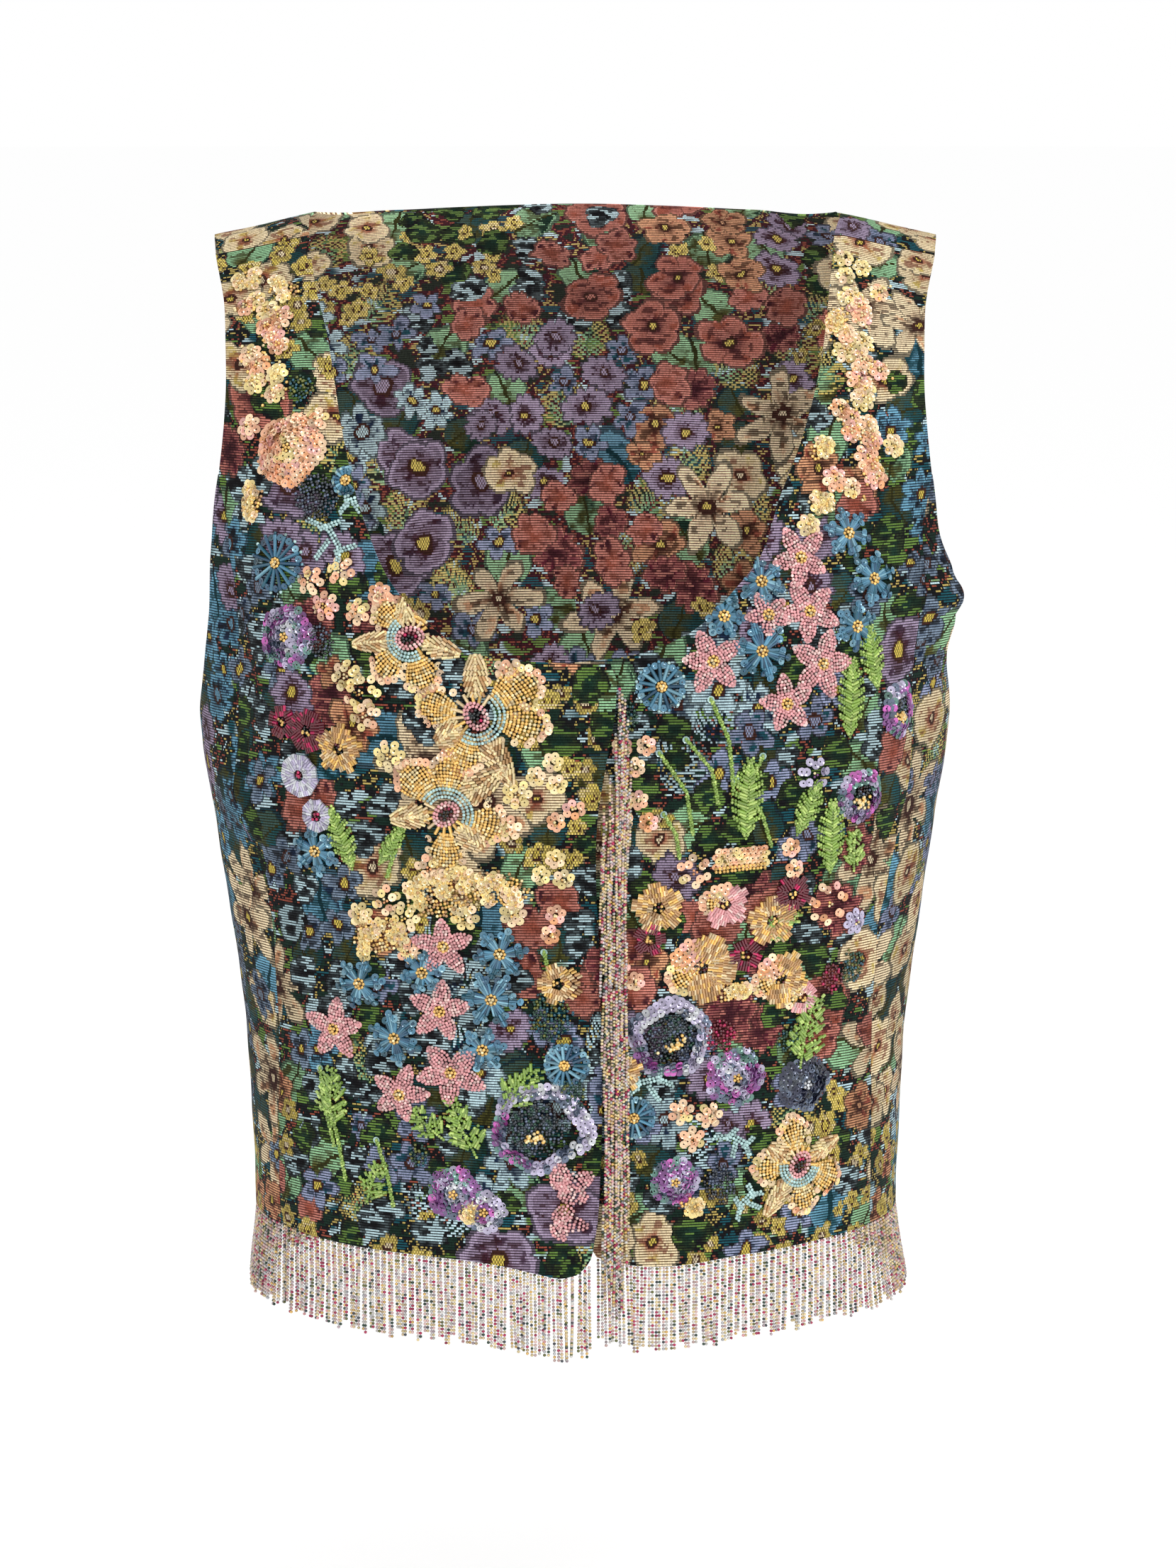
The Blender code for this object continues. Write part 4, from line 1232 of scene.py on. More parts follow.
def rosette(sew, size, tint, inner, heart="gold"):
    """Rings of sequins that overlap like scales, higher towards the heart."""
    radius = 2.1
    rings = max(int((size - 1.2) / 2.3), 1)
    for ring in range(rings):
        far = size - radius * 0.8 - ring * 2.3
        count = max(int(2 * math.pi * far / SEQUIN_PITCH), 5)
        colour = tint if ring < rings * 0.6 else inner
        for angle in around(count, ring * 0.4):
            wave = far * (1 + 0.07 * math.cos(5 * angle))
            sew.sequin(*polar(wave, angle), colour, radius, 0.5 + 0.45 * ring, angle, 0.30)
    for angle in around(5):
        sew.bead(*polar(1.6, angle), heart, 0.9, 0.9 + 0.45 * rings)
    sew.bead(0, 0, heart, 0.9, 1.2 + 0.45 * rings)


def scattered(sew, size, tints, spacing=1.6, low=0.5, radius=0.85, flat=1.0):
    """Beads that fill a round patch without order."""
    for x in np.arange(-size, size, spacing):
        for y in np.arange(-size * flat, size * flat, spacing):
            if math.hypot(x, y / flat) < size * sew.rng.uniform(0.8, 1.05):
                tint = tints[int(sew.rng.integers(len(tints)))]
                jitter = sew.rng.normal(0, 0.3, 2)
                sew.bead(x + jitter[0], y + jitter[1], tint, radius, low + sew.rng.uniform(0, 0.5))


def anemone(sew, size, rim, deep="gunmetal", heart="gold"):
    """An open flower: ruffled sequin petals round dark beads, with gold beads to one side."""
    scattered(sew, size * 0.66, (deep, "jet", deep, "bottle", "slate"), 1.6, 0.7, 0.9)
    for ring, far in enumerate((size - 1.6, size - 3.6, size - 5.6)):
        for angle in around(int(2 * math.pi * far / SEQUIN_PITCH), ring * 0.3):
            wave = far * (1 + 0.06 * math.cos(5 * angle + 1))
            tint = PURPLES if math.cos(angle - 3.6) > 0.6 else rim
            sew.sequin(*polar(wave, angle), tint, SEQUIN, 0.9 + 0.4 * ring, angle + 0.5, 0.40)
    for _ in range(26):
        sew.bead(sew.rng.normal(0, 2.5), sew.rng.normal(-size * 0.22, 1.3), (heart, "pale_gold"), 0.95, 1.9)


def shell_petal(sew, angle, start, long, half, tint=("gold", "gold", "pale_gold")):
    """A petal like a shell: bead strings that spread from its root, edged with overlapping sequins."""
    lanes = max(int(round(half * 2 / 1.55)), 3)
    for lane in np.linspace(-1, 1, lanes):
        end = long * (1 - 0.22 * lane * lane) * sew.rng.uniform(0.95, 1.03)
        root = turned(start, lane * half * 0.35, angle)
        bend = turned((start + end) * 0.55, lane * half * 0.86, angle)
        sew.string([root, bend, turned(end, lane * half, angle)], tint, 0.94, 1.6, 1.2 - 0.5 * abs(lane))
        tip = turned(end + 1.3, lane * half * 1.06, angle)
        sew.sequin(*tip, CREAMY, SEQUIN, 0.6, angle + lane * 0.6, 0.35)
    for along in (0.45, 0.65):
        for hand in (-1, 1):
            x, y = turned(long * along, hand * (half * 0.95 + 1.0), angle)
            sew.sequin(x, y, ("champagne", "peach_pale"), 1.9, 0.5, angle + hand, 0.3)


def champagne_petal(sew, angle, start, long, half):
    """A pointed petal of slanting champagne bugles with a rib of gold beads."""
    for along, aside, bulge in petal_fill(long, start, half, 2.4, 1.5):
        heading = angle - 0.45 * np.sign(aside)
        tint = ("champagne", "pale_gold", "tan")
        sew.stitch(*turned(along, aside, angle), heading, tint, 0.70, 0.6 + bulge)
    sew.string([turned(start, 0, angle), turned(long, 0, angle)], "pale_gold", 0.85, 1.7, 1.6)


# A daffodil's petals: length and half breadth as shares of its size, and angle.
SHELL_PETALS = ((0.98, 0.27, 0.75), (0.92, 0.30, 2.15), (1.0, 0.28, 3.75), (1.05, 0.32, 4.75))
POINTED_PETALS = ((1.22, 0.20, 2.95), (0.98, 0.20, 5.65), (0.80, 0.22, 1.45))


def daffodil(sew, size):
    """A ragged trumpet flower: shell petals and pointed ones round an aqua arc and a pink and dark cup."""
    for length, width, angle in SHELL_PETALS:
        shell_petal(sew, angle + sew.rng.normal(0, 0.08), size * 0.36, size * length, size * width)
    for length, width, angle in POINTED_PETALS:
        champagne_petal(sew, angle + sew.rng.normal(0, 0.08), size * 0.30, size * length, size * width)
    for ring in (0.30, 0.37, 0.44):
        for angle in np.linspace(2.0, 4.9, int(size * ring * 2.0)):
            sew.bead(*polar(size * ring, angle), "aqua", 0.90, 1.8)
    for angle in np.linspace(-1.2, 1.8, 9):
        sew.bugle(polar(5.6, angle), polar(size * 0.40, angle), ("champagne", "gold"), 0.80, 1.1)
    for far, tint in ((5.6, PINKS), (4.2, PINKS), (2.6, ("wine", "cerise", "jet")), (1.2, "jet")):
        for angle in around(max(int(far * 3.6), 4)):
            x, y = polar(far, angle)
            sew.bead(x * 1.15, y * 0.85, tint, 0.92, 1.7)


def feather(sew, size):
    """A leaf of lime bugles and beads in herringbone along its rib, its edges cut into lobes."""
    long = size * 2.1
    for number, step in enumerate(np.arange(0, long - 1, 1.35)):
        swell = math.sin(math.pi * min(0.12 + step / long * 0.88, 1))
        half = 0.46 * size * swell * (1.0 if number % 3 else 0.66) + 0.6
        for hand in (-1, 1):
            middle = (step + 1.3, hand * half * 0.5)
            sew.bugle((step, hand * 0.4), middle, LIMES, 0.74, 1.1)
            sew.string([middle, (step + 3.0, hand * half)], LIMES, 0.86, 1.5, 0.8)
    sew.string([(-1, 0), (long + 1, 0)], LIMES, 0.80, 1.6, 1.4)


def fern(sew, size):
    """A lime stem with pointed leaflets on both sides, each a few strings of beads and bugles."""
    long = size * 2.1
    sew.string([(-2, 0), (long * 0.5, long * 0.04), (long, 0)], LIMES, 0.85, 1.3, 1.0)
    for number, step in enumerate(np.arange(long * 0.06, long, 4.4)):
        reach = 0.60 * size * (1.12 - step / long) + 2.8
        for hand in (-1, 1):
            heading = hand * (0.95 - 0.3 * step / long)
            base = (step + 1.6 * (number + hand) % 2, hand * 0.5)
            for lane in (-1.5, 0.0, 1.5):
                for along in np.arange(0.8, reach - abs(lane) * 1.3, 2.0):
                    x, y = turned(along, lane * (1 - 0.6 * along / reach), heading)
                    dx, dy = turned(2.0, -lane * 0.2, heading)
                    start = (base[0] + x, base[1] + y)
                    height = 0.8 + 0.35 * sew.rng.random()
                    if sew.rng.random() < 0.4:
                        sew.bead(*start, LIMES, 0.88, height)
                    else:
                        sew.bugle(start, (start[0] + dx, start[1] + dy), LIMES, 0.76, height)


def stem(sew, points, top="aqua"):
    """A cord of lime beads, twisted, with one round sequin at its end."""
    for number, (x, y) in enumerate(spots_along(points, 1.15)):
        twist = 0.55 * math.sin(number * 1.1)
        sew.bead(x + twist, y, LIMES, 0.82, 0.8 + 0.35 * math.cos(number * 1.1))
        sew.bead(x - twist, y + 0.3, LIMES, 0.82, 0.8 - 0.3 * math.cos(number * 1.1))
    sew.sequin(*points[0], top, 1.7, 0.8)


def sequin_cluster(sew, size, tint, heart="gold"):
    """Some small flowers of cupped sequins, close together."""
    count = max(int(size / 3.0), 2)
    for angle in around(count, sew.rng.uniform(0, 6)):
        x, y = polar(size * 0.58, angle)
        sequin_ring(sew, x, y, 6, angle, 2.9, tint, SEQUIN, 0.8, 0.28)
        for _ in range(3):
            sew.bead(x + sew.rng.normal(0, 0.6), y + sew.rng.normal(0, 0.6), (heart, "pale_gold"), 0.8, 1.6)


def golden_patch(sew, size, flat=0.6):
    """A band of gold beads with small pale sequin flowers on it."""
    scattered(sew, size, ("gold", "gold", "pale_gold", "tan"), 1.75, 0.5, 0.9, flat)
    for _ in range(int(size * 0.7)):
        x, y = sew.rng.uniform(-0.8, 0.8, 2) * (size, size * flat)
        sequin_ring(sew, x, y, 5, x, 2.1, LEMONY, 1.8, 1.2, 0.22)
        sew.bead(x, y, "gold", 0.85, 2.0)


def blossom_chain(sew, points):
    """Small sequin flowers and gold beads, close together along a line."""
    for number, (x, y) in enumerate(spots_along(points, 5.0)):
        aside = (5.5, -5.0, 0.5)[number % 3] + sew.rng.normal(0, 1.0)
        tint = (PEACH, CREAMY, PEACH, LEMONY)[int(sew.rng.integers(4))]
        sew.at(x + aside, y)
        blossom(sew, 5.6 + sew.rng.uniform(-0.8, 1.0), tint)
        for _ in range(5):
            sew.bead(*sew.rng.uniform(-6.5, 6.5, 2), ("gold", "pale_gold"), 0.9, 0.7)


def sequin_row(sew, size, tint):
    """Rows of sequins over a row of gold beads."""
    for number, y in enumerate(np.arange(0, size * 0.7, 2.4)):
        for x in np.arange(-size + number % 2 * 1.3, size, 2.6):
            sew.sequin(x, y + 1.5, tint, SEQUIN, 0.6 + 0.3 * number, 1.57, -0.3)
    for y in (-1.2, 0.4):
        sew.string([(-size, y), (size, y + 0.5)], "gold", 0.9, 1.75, 0.8)


def branch(sew, size, tint):
    """Curved double strings of beads with short twigs."""
    bend = [(-size, -size * 0.2), (-size * 0.3, size * 0.25), (size * 0.4, size * 0.2), (size, -size * 0.3)]
    for gap in (-0.8, 0.8):
        sew.string([(x, y + gap) for x, y in bend], tint, 0.9, 1.6, 0.7)
    for x, hand in ((-0.5, 1), (0.0, -1), (0.45, 1)):
        for gap in (-0.7, 0.7):
            twig = [(size * x + gap, 0), (size * (x + 0.22) + gap, hand * size * 0.7)]
            sew.string(twig, tint, 0.9, 1.6, 0.7)


def bead_petals(sew, size, tint):
    """Broad petals filled with beads on one side of a flower that the cloth shows."""
    for angle, share in ((-0.75, 0.9), (0.15, 1.2), (1.05, 1.0)):
        beaded_petal(sew, size * share, 1.0, 0.30 * size, angle, tint)


def moss_beads(sew, size, tints):
    """An oval patch of scattered beads."""
    scattered(sew, size, tints, 1.65, 0.5, 0.85, 1.2)


MOTIFS = {
    # name: how it is sewn, then what that takes besides its size
    "pink star": (star_flower, PINKS),
    "blue star": (bugle_star, STEELS),
    "blue daisy": (spoked_flower, STEELS),
    "peach blossom": (blossom, PEACH),
    "pale blossom": (blossom, CREAMY, "orange", 6),
    "lemon blossom": (blossom, LEMONY),
    "lilac blossom": (blossom, "lilac", "purple"),
    "peach rosette": (rosette, PEACH, CREAMY),
    "purple rosette": (rosette, PURPLES, SILVERS),
    "navy rosette": (rosette, NAVIES, NAVIES, "silver"),
    "slate rosette": (rosette, SILVERS, PURPLES),
    "silver anemone": (anemone, SILVERS),
    "dark anemone": (anemone, PURPLES, "jet"),
    "orange flower": (bugle_petals, TANS, PEACH),
    "tan flower": (bugle_petals, TANS, None),
    "pink flower": (bugle_petals, PINKS, CREAMY),
    "wine flower": (bugle_petals, WINES, None),
    "lilac daisy": (bugle_petals, ("lilac", "silver"), None, 9, "cerise"),
    "daffodil": (daffodil,),
    "feather": (feather,),
    "fern": (fern,),
    "peach cluster": (sequin_cluster, PEACH),
    "lemon cluster": (sequin_cluster, LEMONY),
    "gun beads": (moss_beads, ("gunmetal", "gunmetal", "slate", "jet")),
    "green beads": (moss_beads, ("bottle", "petrol", "bottle", "olive")),
    "wine beads": (moss_beads, ("wine", "wine", "wine", "cerise")),
    "gold patch": (golden_patch,),
    "sequin row": (sequin_row, CREAMY),
    "aqua branch": (branch, "aqua"),
    "pink petals": (bead_petals, PINKS),
}

# Embroidery: motif, place in mm (from the centre line, down), size in mm and angle.
RIGHT_SEWN = (
    ("gold patch", -153, 26, 6.0, 0.4),
    ("gold patch", -135, 33, 6.5, -0.4),
    ("green beads", -126, 78, 5.0, 0.5),
    ("peach rosette", -131, 105, 13.5, 0),
    ("gun beads", -118, 126, 8.0, 0.3),
    ("gold patch", -148, 130, 7.5, 1.4),
    ("aqua branch", -112, 145, 11.0, -0.9),
    ("blue daisy", -136, 156, 11.5, 0),
    ("pale blossom", -120, 163, 5.5, 0),
    ("pale blossom", -106, 158, 5.5, 0),
    ("peach blossom", -113, 174, 5.5, 0),
    ("purple rosette", -131, 189, 11.5, 0),
    ("gun beads", -115, 190, 5.5, 0),
    ("daffodil", -74, 187, 18.0, 0.3),
    ("daffodil", -44, 221, 22.0, 2.2),
    ("lemon blossom", -96, 212, 7.5, 0),
    ("tan flower", -106, 238, 8.0, 0),
    ("wine flower", -121, 231, 7.5, 0),
    ("wine flower", -133, 228, 5.0, 0),
    ("lilac daisy", -125, 252, 7.0, 0),
    ("lilac daisy", -117, 270, 5.0, 0),
    ("lemon blossom", -103, 205, 6.0, 0),
    ("pale blossom", -94, 222, 6.0, 0),
    ("lemon blossom", -83, 240, 6.0, 0),
    ("pale blossom", -30, 200, 5.0, 0),
    ("lemon blossom", -26, 256, 5.5, 0),
    ("pale blossom", -30, 272, 5.0, 0),
    ("daffodil", -58, 266, 21.5, 3.9),
    ("lemon cluster", -12, 247, 8.0, 0),
    ("peach cluster", -5, 266, 6.5, 0),
    ("lemon cluster", -10, 292, 8.0, 0),
    ("peach cluster", -10, 317, 6.5, 0),
    ("feather", -101, 293, 10.5, 1.9),
    ("feather", -88, 290, 7.0, 1.0),
    ("blue star", -118, 287, 9.0, 0),
    ("gold patch", -60, 304, 15.0, 0.2),
    ("gold patch", -90, 326, 11.0, 0.3),
    ("gold patch", -34, 300, 11.0, -0.2),
    ("lemon blossom", -78, 316, 6.0, 0),
    ("pale blossom", -86, 308, 6.0, 0),
    ("lemon blossom", -98, 316, 5.0, 0),
    ("pale blossom", -66, 292, 5.5, 0),
    ("lemon blossom", -50, 314, 5.5, 0),
    ("pale blossom", -76, 332, 5.0, 0),
    ("lemon blossom", -28, 312, 5.0, 0),
    ("pink star", -60, 329, 10.0, 0),
    ("blue star", -34, 331, 9.5, 0),
    ("blue star", -99, 349, 9.5, 0),
    ("blue star", -70, 342, 8.0, 0),
    ("blue star", -38, 353, 10.5, 0),
    ("pink star", -62, 360, 10.5, 0),
    ("pink star", -111, 372, 10.5, 0),
    ("blue star", -83, 374, 10.0, 0),
    ("blue star", -42, 377, 8.0, 0),
    ("pink star", -57, 389, 12.0, 0),
    ("pink star", -81, 401, 10.0, 0),
    ("green beads", -12, 361, 8.0, 0),
    ("blue daisy", -5, 384, 8.5, 0),
    ("tan flower", -8, 345, 6.5, 0),
    ("fern", -113, 418, 9.0, 1.5),
    ("fern", -46, 427, 10.0, 2.0),
    ("fern", -32, 403, 8.0, 0.9),
    ("silver anemone", -18, 414, 17.0, 0),
    ("purple rosette", -56, 447, 10.0, 0),
    ("slate rosette", -42, 455, 8.0, 0),
    ("gold patch", -49, 456, 5.0, 0),
    ("pink petals", -8, 444, 10.5, 0.4),
    ("pink petals", -10, 459, 8.5, -0.3),
    ("green beads", -72, 430, 4.0, 0),
    ("green beads", -2, 398, 5.0, 0),
    ("fern", -96, 452, 6.0, 1.2),
    ("fern", -62, 420, 6.5, 2.4),
    ("peach blossom", -150, 96, 5.0, 0),
    ("pale blossom", -118, 92, 5.0, 0),
    ("aqua branch", -100, 128, 6.0, 0.4),
    ("pale blossom", -98, 176, 5.0, 0),
    ("peach blossom", -88, 168, 4.5, 0),
    ("blue daisy", -104, 118, 5.5, 0),
)
LEFT_SEWN = (
    ("lemon cluster", 128, 24, 7.5, 0),
    ("gold patch", 119, 48, 6.5, 0.6),
    ("gold patch", 112, 105, 5.5, 0.4),
    ("gold patch", 112, 128, 6.0, -0.3),
    ("blue star", 124, 142, 9.0, 0),
    ("pink star", 102, 152, 10.0, 0),
    ("blue star", 136, 163, 9.5, 0),
    ("blue star", 84, 162, 8.5, 0),
    ("pink star", 106, 176, 10.5, 0),
    ("pink star", 87, 177, 7.5, 0),
    ("blue star", 67, 177, 7.5, 0),
    ("blue star", 128, 184, 8.5, 0),
    ("blue star", 84, 193, 10.5, 0),
    ("pink star", 62, 197, 10.5, 0),
    ("pink star", 112, 200, 11.5, 0),
    ("blue daisy", 39, 208, 9.5, 0),
    ("pink star", 95, 217, 9.5, 0),
    ("feather", 137, 212, 10.5, 1.7),
    ("feather", 124, 233, 12.5, 1.5),
    ("green beads", 24, 222, 4.5, 0),
    ("dark anemone", 149, 224, 10.5, 0),
    ("feather", 77, 277, 13.0, 1.55),
    ("feather", 101, 277, 9.0, 1.2),
    ("feather", 116, 296, 12.0, 1.6),
    ("lilac blossom", 108, 250, 6.5, 0),
    ("dark anemone", 130, 262, 10.0, 0),
    ("peach cluster", 27, 238, 8.5, 0),
    ("peach cluster", 28, 266, 9.0, 0),
    ("sequin row", 76, 292, 9.5, 0.05),
    ("peach cluster", 99, 289, 7.0, 0),
    ("pale blossom", 54, 293, 6.5, 0),
    ("peach blossom", 116, 312, 8.5, 0),
    ("wine flower", 99, 306, 6.0, 0),
    ("tan flower", 38, 310, 8.5, 0),
    ("pink flower", 68, 309, 8.0, 0),
    ("tan flower", 90, 318, 8.5, 0),
    ("orange flower", 58, 339, 13.0, 0.4),
    ("gold patch", 72, 351, 7.0, 0.1),
    ("orange flower", 94, 346, 10.0, 0),
    ("pink flower", 104, 356, 5.5, 0),
    ("peach cluster", 22, 343, 8.0, 0),
    ("silver anemone", 44, 372, 15.0, 0.5),
    ("fern", 104, 388, 12.0, 1.4),
    ("purple rosette", 74, 392, 11.0, 0),
    ("navy rosette", 106, 398, 10.5, 0),
    ("aqua branch", 34, 395, 9.0, 0.3),
    ("blue daisy", 27, 410, 8.5, 0),
    ("tan flower", 22, 388, 6.0, 0),
    ("pale blossom", 49, 408, 5.0, 0),
    ("pale blossom", 62, 410, 5.0, 0),
    ("pale blossom", 54, 421, 5.0, 0),
    ("aqua branch", 74, 424, 8.0, -0.5),
    ("daffodil", 104, 437, 18.0, 1.1),
    ("purple rosette", 46, 441, 9.0, 0),
    ("gold patch", 54, 453, 5.0, 0),
    ("gun beads", 67, 443, 6.5, 0),
    ("aqua branch", 80, 453, 7.0, 0.8),
    ("green beads", 128, 344, 5.5, 0.4),
    ("fern", 88, 326, 6.0, 0.7),
    ("fern", 128, 296, 6.0, 1.7),
    ("wine flower", 78, 334, 5.0, 0),
    ("wine flower", 34, 325, 4.5, 0),
    ("wine beads", 66, 372, 6.0, 0),
    ("wine beads", 118, 348, 5.0, 0),
    ("lilac blossom", 128, 322, 5.0, 0),
    ("peach blossom", 118, 118, 5.0, 0),
    ("lemon blossom", 106, 138, 4.5, 0),
    ("green beads", 98, 376, 4.5, 0),
)
# Chains of small sequin flowers: places in mm.
RIGHT_CHAIN = ((-152, 36), (-138, 48), (-147, 66), (-136, 84))
LEFT_CHAIN = ((136, 34), (122, 52), (136, 72), (124, 90), (140, 104), (130, 124))
# Stems of lime beads, from their tops down: places in mm.
RIGHT_STEMS = (
    ((-116, 400), (-111, 422), (-106, 446)),
    ((-92, 424), (-87, 440), (-84, 456)),
    ((-118, 392), (-117, 408), (-112, 430)),
    ((-14, 330), (-12, 340)),
    ((-82, 286), (-86, 298)),
)
LEFT_STEMS = (
    ((61, 214), (69, 232), (72, 256)),
    ((50, 232), (62, 246), (66, 262)),
    ((38, 238), (51, 256), (55, 276)),
    ((84, 240), (79, 252), (80, 264)),
    ((72, 250), (86, 268), (92, 284)),
    ((40, 266), (46, 276), (48, 288)),
)


# How much larger than in the tables the motifs are sewn.
SEWN_SIZE = 1.28


def embroidery(name, side, lift, outline, table, chain, stems, seed):
    """One front's beads and bugles, and its sequins, as two pieces."""
    sew = Sewing(side, lift, seed)
    for motif, across, down, size, angle in table:
        sewn, *details = MOTIFS[motif]
        sewn(sew.at(across, down, angle), size * SEWN_SIZE, *details)
    blossom_chain(sew, chain)
    for points in stems:
        across, down = points[0]
        stem(sew.at(across, down), [(x - across, down - y) for x, y in points])
    for shape, rows in sew.rows.items():
        on_cloth = inside(np.array(rows)[:, :2], outline)
        sew.rows[shape] = [row for row, kept in zip(rows, on_cloth) if kept]
    beads, bugles, sequins = ((shape, side, lift, sew.rows[shape]) for shape in ("bead", "bugle", "sequin"))
    return [
        joined_piece(f"{name}_beads", bead_glass, [beads, bugles]),
        joined_piece(f"{name}_sequins", sequin_foil, [sequins]),
    ]


# The fringe: the length of a strand, a pair of strands each pitch, and the beads of a strand.
STRAND = 0.0395
STRAND_VARIES = 0.0026
STRAND_PITCH = 0.0034
PAIR_GAP = 0.00165
BEAD_PITCH = 0.00160
BEAD_RADIUS = 0.00087
# How far the strands' ends stand out at the sides.
FLARE_LEFT = 0.0060
FLARE_RIGHT = 0.0035
# The edge fringe: where it starts and ends, the pitch of its roots and how far they reach out.
EDGE_TOP = 0.2080
EDGE_BOTTOM = 0.4700
EDGE_PITCH = 0.0025
EDGE_REACH = 0.0105
# The fringe's beads, and the share of each.
FRINGE_TINTS = {
    "rose_clear": 0.15, "mauve": 0.09, "clear": 0.12, "champagne": 0.13, "pale_gold": 0.16, "gold": 0.06,
    "silver": 0.04, "pink": 0.03, "cerise": 0.09, "olive": 0.05, "bottle": 0.05, "gunmetal": 0.03,
}


def strand_rows(rng, root, length, drift, flare, height, sway):
    """The beads of one hanging strand, from its root down."""
    names = list(FRINGE_TINTS)
    weights = np.array(list(FRINGE_TINTS.values()))
    favour = weights * rng.uniform(0.5, 1.6, len(weights))
    rows = []
    for along in np.arange(BEAD_PITCH / 2, length, BEAD_PITCH):
        part = along / length
        tint = BEADS[names[int(rng.choice(len(names), p=favour / favour.sum()))]]
        # The fringe's darkening is partly painted shade of the strands on one another.
        colour = np.array(light_of(tint)) * FRINGE_LIGHT * rng.uniform(0.65, 1.25)
        x = root[0] + drift * part + sway * math.sin(part * 4 + root[0] * 900)
        y = root[1] - along
        z = height + flare * part
        size = (BEAD_RADIUS * rng.uniform(0.93, 1.07), BEAD_PITCH * 0.50, BEAD_RADIUS)
        rows.append((x, y, z, 1.0, 0.0, 0.0, *size, *colour, tint[3]))
    return rows


def hem_fringe(name, node, side, hem, lift, seed):
    """Pairs of bead strings side by side along a hem, with uneven ends."""
    rng = np.random.default_rng(seed)
    fine = stepped(hem, 0.001)
    lengths = way_along(wrapped(side, np.column_stack([fine, np.zeros(len(fine))])))
    count = int(lengths[-1] / STRAND_PITCH)
    rows = []
    for number in range(count):
        along = (number + 0.5) * lengths[-1] / count
        root = np.array([np.interp(along, lengths, fine[:, axis]) for axis in range(2)]) - (0, SEAM_GAP)
        length = STRAND + STRAND_VARIES * math.sin(2.4 * number) * math.sin(0.83 * number + 1)
        length += rng.uniform(-0.0008, 0.0008)
        flare = (FLARE_LEFT if root[0] > 0 else FLARE_RIGHT) * abs(math.sin(root[0] / REACH)) ** 6
        drift = 0.0007 * math.sin(number * 1.9) + rng.normal(0, 0.0004)
        sway = rng.uniform(0, 0.0002)
        for hand in (-0.5, 0.5):
            start = root + (hand * PAIR_GAP, 0)
            own = length + rng.uniform(-0.0008, 0.0004)
            rows += strand_rows(rng, start, own, drift, flare, -BEAD_RADIUS, sway)
    return joined_piece(name, bead_glass, [("bead", side, lift, rows)], node)


def edge_height(x):
    """The edge fringe hangs as far out as the lap."""
    return np.full_like(x, LAP)


def edge_fringe(name, node, edge, seed):
    """Bead strands rooted one over another down the overlapping front's edge, hanging in one soft ribbon."""
    rng = np.random.default_rng(seed)
    order = np.argsort(edge[:, 1])
    rows = []
    roots = np.arange(-way_of(EDGE_TOP), -way_of(EDGE_BOTTOM) + 0.002, -EDGE_PITCH)
    for number, level in enumerate(roots):
        lane = (number * 0.382) % 1
        spread = EDGE_REACH * lane * min(0.15 + number * EDGE_PITCH / 0.05, 1)
        root = np.array([np.interp(level, edge[order, 1], edge[order, 0]) + 0.0010 + spread, level])
        height = 0.0012 + 0.0016 * ((number * 0.618) % 1)
        drift = rng.uniform(-0.0008, 0.0012)
        rows += strand_rows(rng, root, STRAND + rng.uniform(-0.002, 0.001), drift, 0.0, height, 0.0002)
    return joined_piece(name, bead_glass, [("bead", -1, edge_height, rows)], node)


right_outline = front_outline(RIGHT_NECK, RIGHT_CENTRE, RIGHT_HEM, -1)
left_outline = front_outline(LEFT_NECK, LEFT_CENTRE, LEFT_HEM, 1)
back, back_size, back_area = cloth("cloth_back", "back", 1, back_outline(), flat_lift, BACK_BEDS, 11)
left, left_size, left_area = cloth("cloth_left", "front_left", -1, left_outline, flat_lift, LEFT_BEDS, 7)
right, right_size, right_area = cloth(
    "cloth_right", "front_right", -1, right_outline, lap_lift, RIGHT_BEDS, 5)

right_trim = embroidery("right_front", -1, lap_lift, right_outline, RIGHT_SEWN, RIGHT_CHAIN, RIGHT_STEMS, 21)
left_trim = embroidery("left_front", -1, flat_lift, left_outline, LEFT_SEWN, LEFT_CHAIN, LEFT_STEMS, 22)
right_hem = drawn(RIGHT_CENTRE[-2:-1] + RIGHT_HEM, -1, shift=-SEAM_GAP / 2)
left_hem = drawn(LEFT_HEM, 1, shift=-SEAM_GAP / 2)
behind_hem = half_back(LEFT_NECK[0][0])[0]
around_hem = np.concatenate([mirrored(behind_hem), behind_hem[1:]])
right_trim.append(hem_fringe("hem_beads_right", "fringe_front_right", -1, right_hem, lap_lift, 31))
left_trim.append(hem_fringe("hem_beads_left", "fringe_front_left", -1, left_hem, flat_lift, 32))
back_trim = [hem_fringe("hem_beads_back", "fringe_back", 1, around_hem, flat_lift, 33)]
centre_edge = stepped(drawn(RIGHT_CENTRE, -1), 0.002)
right_trim.append(edge_fringe("edge_beads", "fringe_edge", centre_edge, 34))

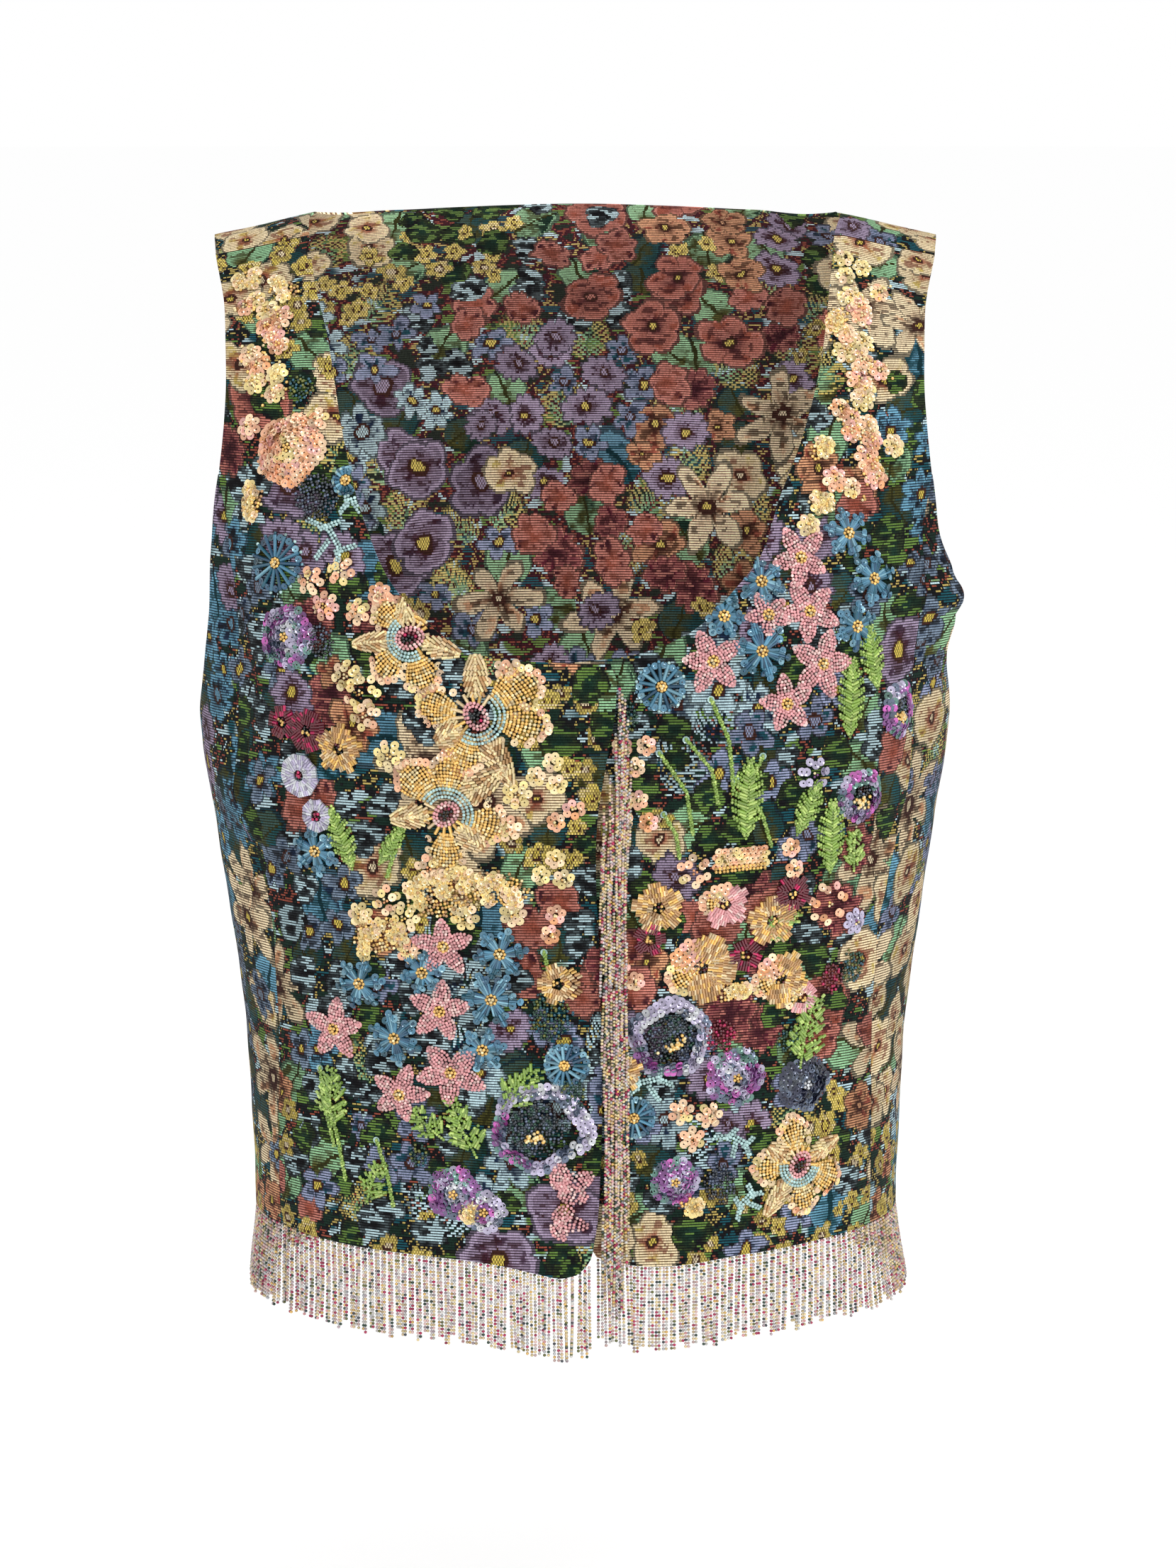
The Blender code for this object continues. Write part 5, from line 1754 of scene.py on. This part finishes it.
# The floor's level, and the camera: what it looks at, how far from it and how high, in metres.
FLOOR_LEVEL = -0.72
CAMERA_TARGET = Vector((0.00595, 0.0, -0.269))
CAMERA_DISTANCE = 2.2
CAMERA_HEIGHT = math.radians(9.0)
CAMERA_LENS = 105.31
# The lights: name, place, size and power.
LIGHTS = (
    ("key", (0.7, -2.1, 1.4), 0.9, 27),
    ("fill", (1.7, -1.7, 0.4), 1.4, 4),
    ("top", (0.1, 0.2, 1.8), 1.2, 7),
)


def area_light(name, place, size, power):
    """A large soft light that faces the waistcoat."""
    light = bpy.data.lights.new(name, "AREA")
    light.shape = "DISK"
    light.size = size
    light.energy = power
    holder = linked(name, light)
    holder.location = place
    holder.rotation_euler = (CAMERA_TARGET - Vector(place)).to_track_quat("-Z", "Y").to_euler()


def studio():
    """A plain pale floor, an even pale surround, soft lights, and the photograph's camera."""
    bm = bmesh.new()
    bmesh.ops.create_circle(bm, cap_ends=True, segments=64, radius=40.0)
    bmesh.ops.translate(bm, verts=bm.verts, vec=(0, 0, FLOOR_LEVEL))
    mesh = bpy.data.meshes.new("floor")
    bm.to_mesh(mesh)
    bm.free()
    fixed = {"Base Color": (0.99, 0.99, 0.99, 1.0), "Roughness": 0.9, "Specular IOR Level": 0.0}
    paint = Finish("floor_paint", fixed)
    mesh.materials.append(paint.material)
    floor = linked("floor", mesh)

    world = bpy.data.worlds.new("surround")
    world.use_nodes = True
    surround = world.node_tree.nodes["Background"].inputs
    surround["Color"].default_value = (1.0, 1.0, 1.0, 1.0)
    surround["Strength"].default_value = 1.0
    bpy.context.scene.world = world
    bpy.context.scene.view_settings.view_transform = "Standard"
    for light in LIGHTS:
        area_light(*light)

    lens = bpy.data.cameras.new("camera")
    lens.lens = CAMERA_LENS
    camera = linked("camera", lens)
    back_off = Vector((0, -math.cos(CAMERA_HEIGHT), math.sin(CAMERA_HEIGHT))) * CAMERA_DISTANCE
    camera.location = CAMERA_TARGET + back_off
    camera.rotation_euler = (math.pi / 2 - CAMERA_HEIGHT, 0, 0)
    bpy.context.scene.camera = camera


studio()
